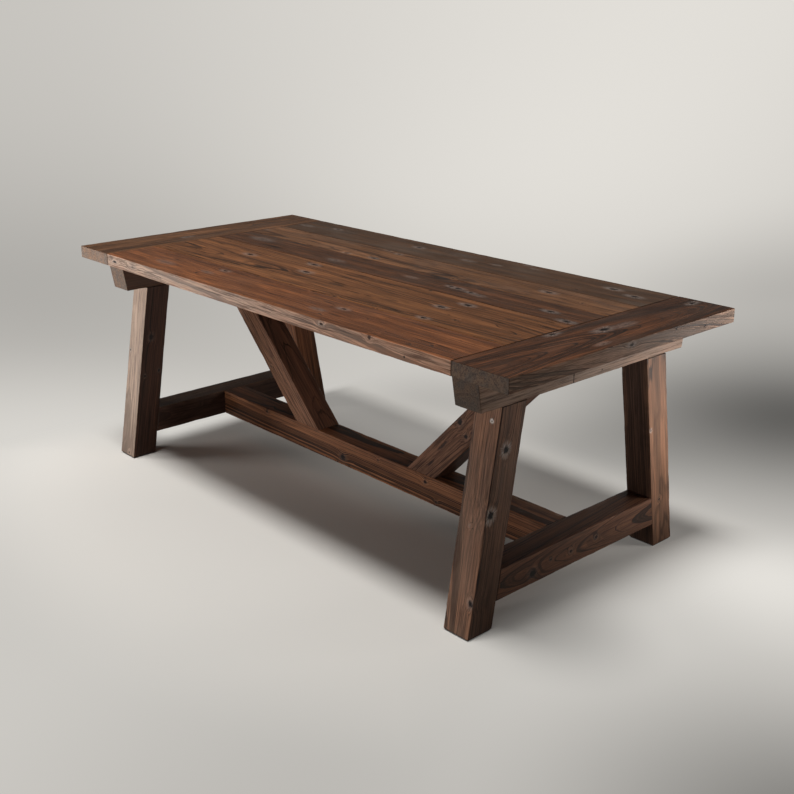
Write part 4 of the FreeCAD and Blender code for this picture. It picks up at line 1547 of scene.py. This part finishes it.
# The wood of the frame's timbers, by node.
FRAME_WOODS = {
    "cap_right": StainedWood(
        Stain.DRIFT, (-20, -120), 11, contrast=0.6, edge_side=-1, edge_share=(0.3, 0.3), butt=0.8,
        blemishes=marks(Side.RIGHT, nail=((900, 49, 640, 3),))),
    # Painted shade: SMOKE darkens this cap, which lies in the table's shadow.
    "cap_left": StainedWood(Stain.SMOKE, (30, -110), 12, contrast=0.6, butt=1.8),
    # Painted shade: the dark edge tone darkens the face towards the table's right end, most at the foot. The
    # whiter halo tone is partly pale filler and partly a painted highlight on its ring.
    "leg_front_right": StainedWood(
        Stain.RUSSET, (-150, 60), 13, contrast=1.4, weather=0.35, fibre=1.4, rub=0,
        halo_tone=(206, 199, 193), edge_side=-1, edge_axis=2, edge_share=(0.9, 0.1),
        edge_tone=(56, 40, 31), ripple=0.5,
        blemishes=marks(
            Side.RIGHT, star=((900, -330, 508, 12), (900, -381, 340, 13)), streak=((900, -420, 170, 5),),
        ) + marks(
            Side.FRONT, knot=((891, -437, 103, 9), (850, -395, 300, 4)), ring=((872, -354, 584, 4),))),
    # Painted shade: the dark edge tone darkens the inner face. Painted light: fade makes the leg lighter
    # towards its foot and darker towards its head.
    "leg_back_right": StainedWood(
        Stain.SEPIA, (10, 400), 14, spacing=8, contrast=1.3, wander=3, weather=0.2, edge_side=-1,
        edge_tone=(58, 40, 32), ripple=0.8, fade=(1.4, 0.76), blemishes=marks(
            Side.RIGHT, ring=((900, 302, 397, 5),), knot=((900, 373, 157, 4),))),
    # Painted shade: PAINTED_DEEP_SHADE darkens the faces in shadow. The pale edge tone is a painted
    # highlight on the front face, strongest towards the head.
    "leg_front_left": StainedWood(
        Stain.PAINTED_DEEP_SHADE, (210, 30), 15, spacing=8, contrast=1.2, weather=0.2, edge_side=-1,
        edge_share=(0.3, 0.95), edge_tone=(192, 168, 150), ripple=0.6, blemishes=marks(
            Side.FRONT, ring=((-890, -388, 387, 6),), knot=((-844, -452, 14, 4),),
        ) + marks(
            Side.RIGHT, knot=((-808, -346, 444, 10), (-808, -383, 304, 5), (-808, -324, 314, 5)))),
    "leg_back_left": StainedWood(Stain.COCOA, (160, 50), 16, contrast=0.9),
    "rail_right": StainedWood(
        Stain.MOCHA, (-85, 0), 17, spacing=9, contrast=1.2, taper=-0.09, weather=0.2, blemishes=marks(
            Side.RIGHT, knot=((900, -203, 113, 13), (900, -42, 124, 6), (900, -129, 129, 4),
                              (900, 70, 131, 6)))),
    # Painted shade: the dark edge tone darkens the face towards the middle of the table.
    "rail_left": StainedWood(
        Stain.DRIFT, (90, 10), 18, spacing=8, contrast=0.8, taper=0.05, edge_side=-1,
        edge_share=(0.95, 0.95), edge_tone=(58, 40, 33), ripple=0.6),
    "stretcher": StainedWood(
        Stain.AMBER, (15, -230), 19, spacing=13, contrast=1.6, taper=0.012, wander=7, weather=0.15, thin=0.3,
        threads=1, blemishes=marks(
            Side.FRONT, knot=((-95, -47, 110, 12), (87, -47, 154, 4), (312, -47, 148, 7), (363, -47, 95, 5),
                              (-531, -47, 160, 6)))),
    # Painted shade: SMOKE darkens the faces under the top; the edge tone gives the front face its lighter
    # lit brown.
    "brace_left": StainedWood(
        Stain.SMOKE, (5, -75), 20, spacing=9, contrast=1.1, taper=-0.06, weather=0.15, thin=0.5,
        edge_side=-1, edge_share=(0.9, 0.9), edge_tone=(126, 90, 69), ripple=0.9,
        blemishes=marks(Side.FRONT, knot=((-495, -47, 344, 4),))),
    # Painted shade: SMOKE darkens the faces under the top; the edge tone gives the front face its lighter
    # lit brown.
    "brace_right": StainedWood(
        Stain.SMOKE, (10, -200), 21, spacing=12, contrast=1.4, taper=0.03, weather=0.15,
        edge_side=-1, edge_share=(0.9, 0.9), edge_tone=(108, 76, 59), ripple=0.9, blemishes=marks(
            Side.FRONT, knot=((461, -47, 391, 11), (487, -47, 351, 8)),
            streak=((390, -47, 296, 6), (338, -47, 221, 4)))),
}


def main() -> None:
    """Build the table's sub-assemblies in order and set up the studio."""
    logging.basicConfig(level=logging.INFO, format="%(name)s: %(message)s")
    timbers = Tabletop(TABLETOP_WOODS).build()
    for end in End:
        timbers += Trestle(end, FRAME_WOODS).build()
    timbers += Understructure(FRAME_WOODS).build()
    Fixings().dress()
    Studio().build()
    log.info("table: %d timbers", len(timbers))


if __name__ == "__main__":
    main()
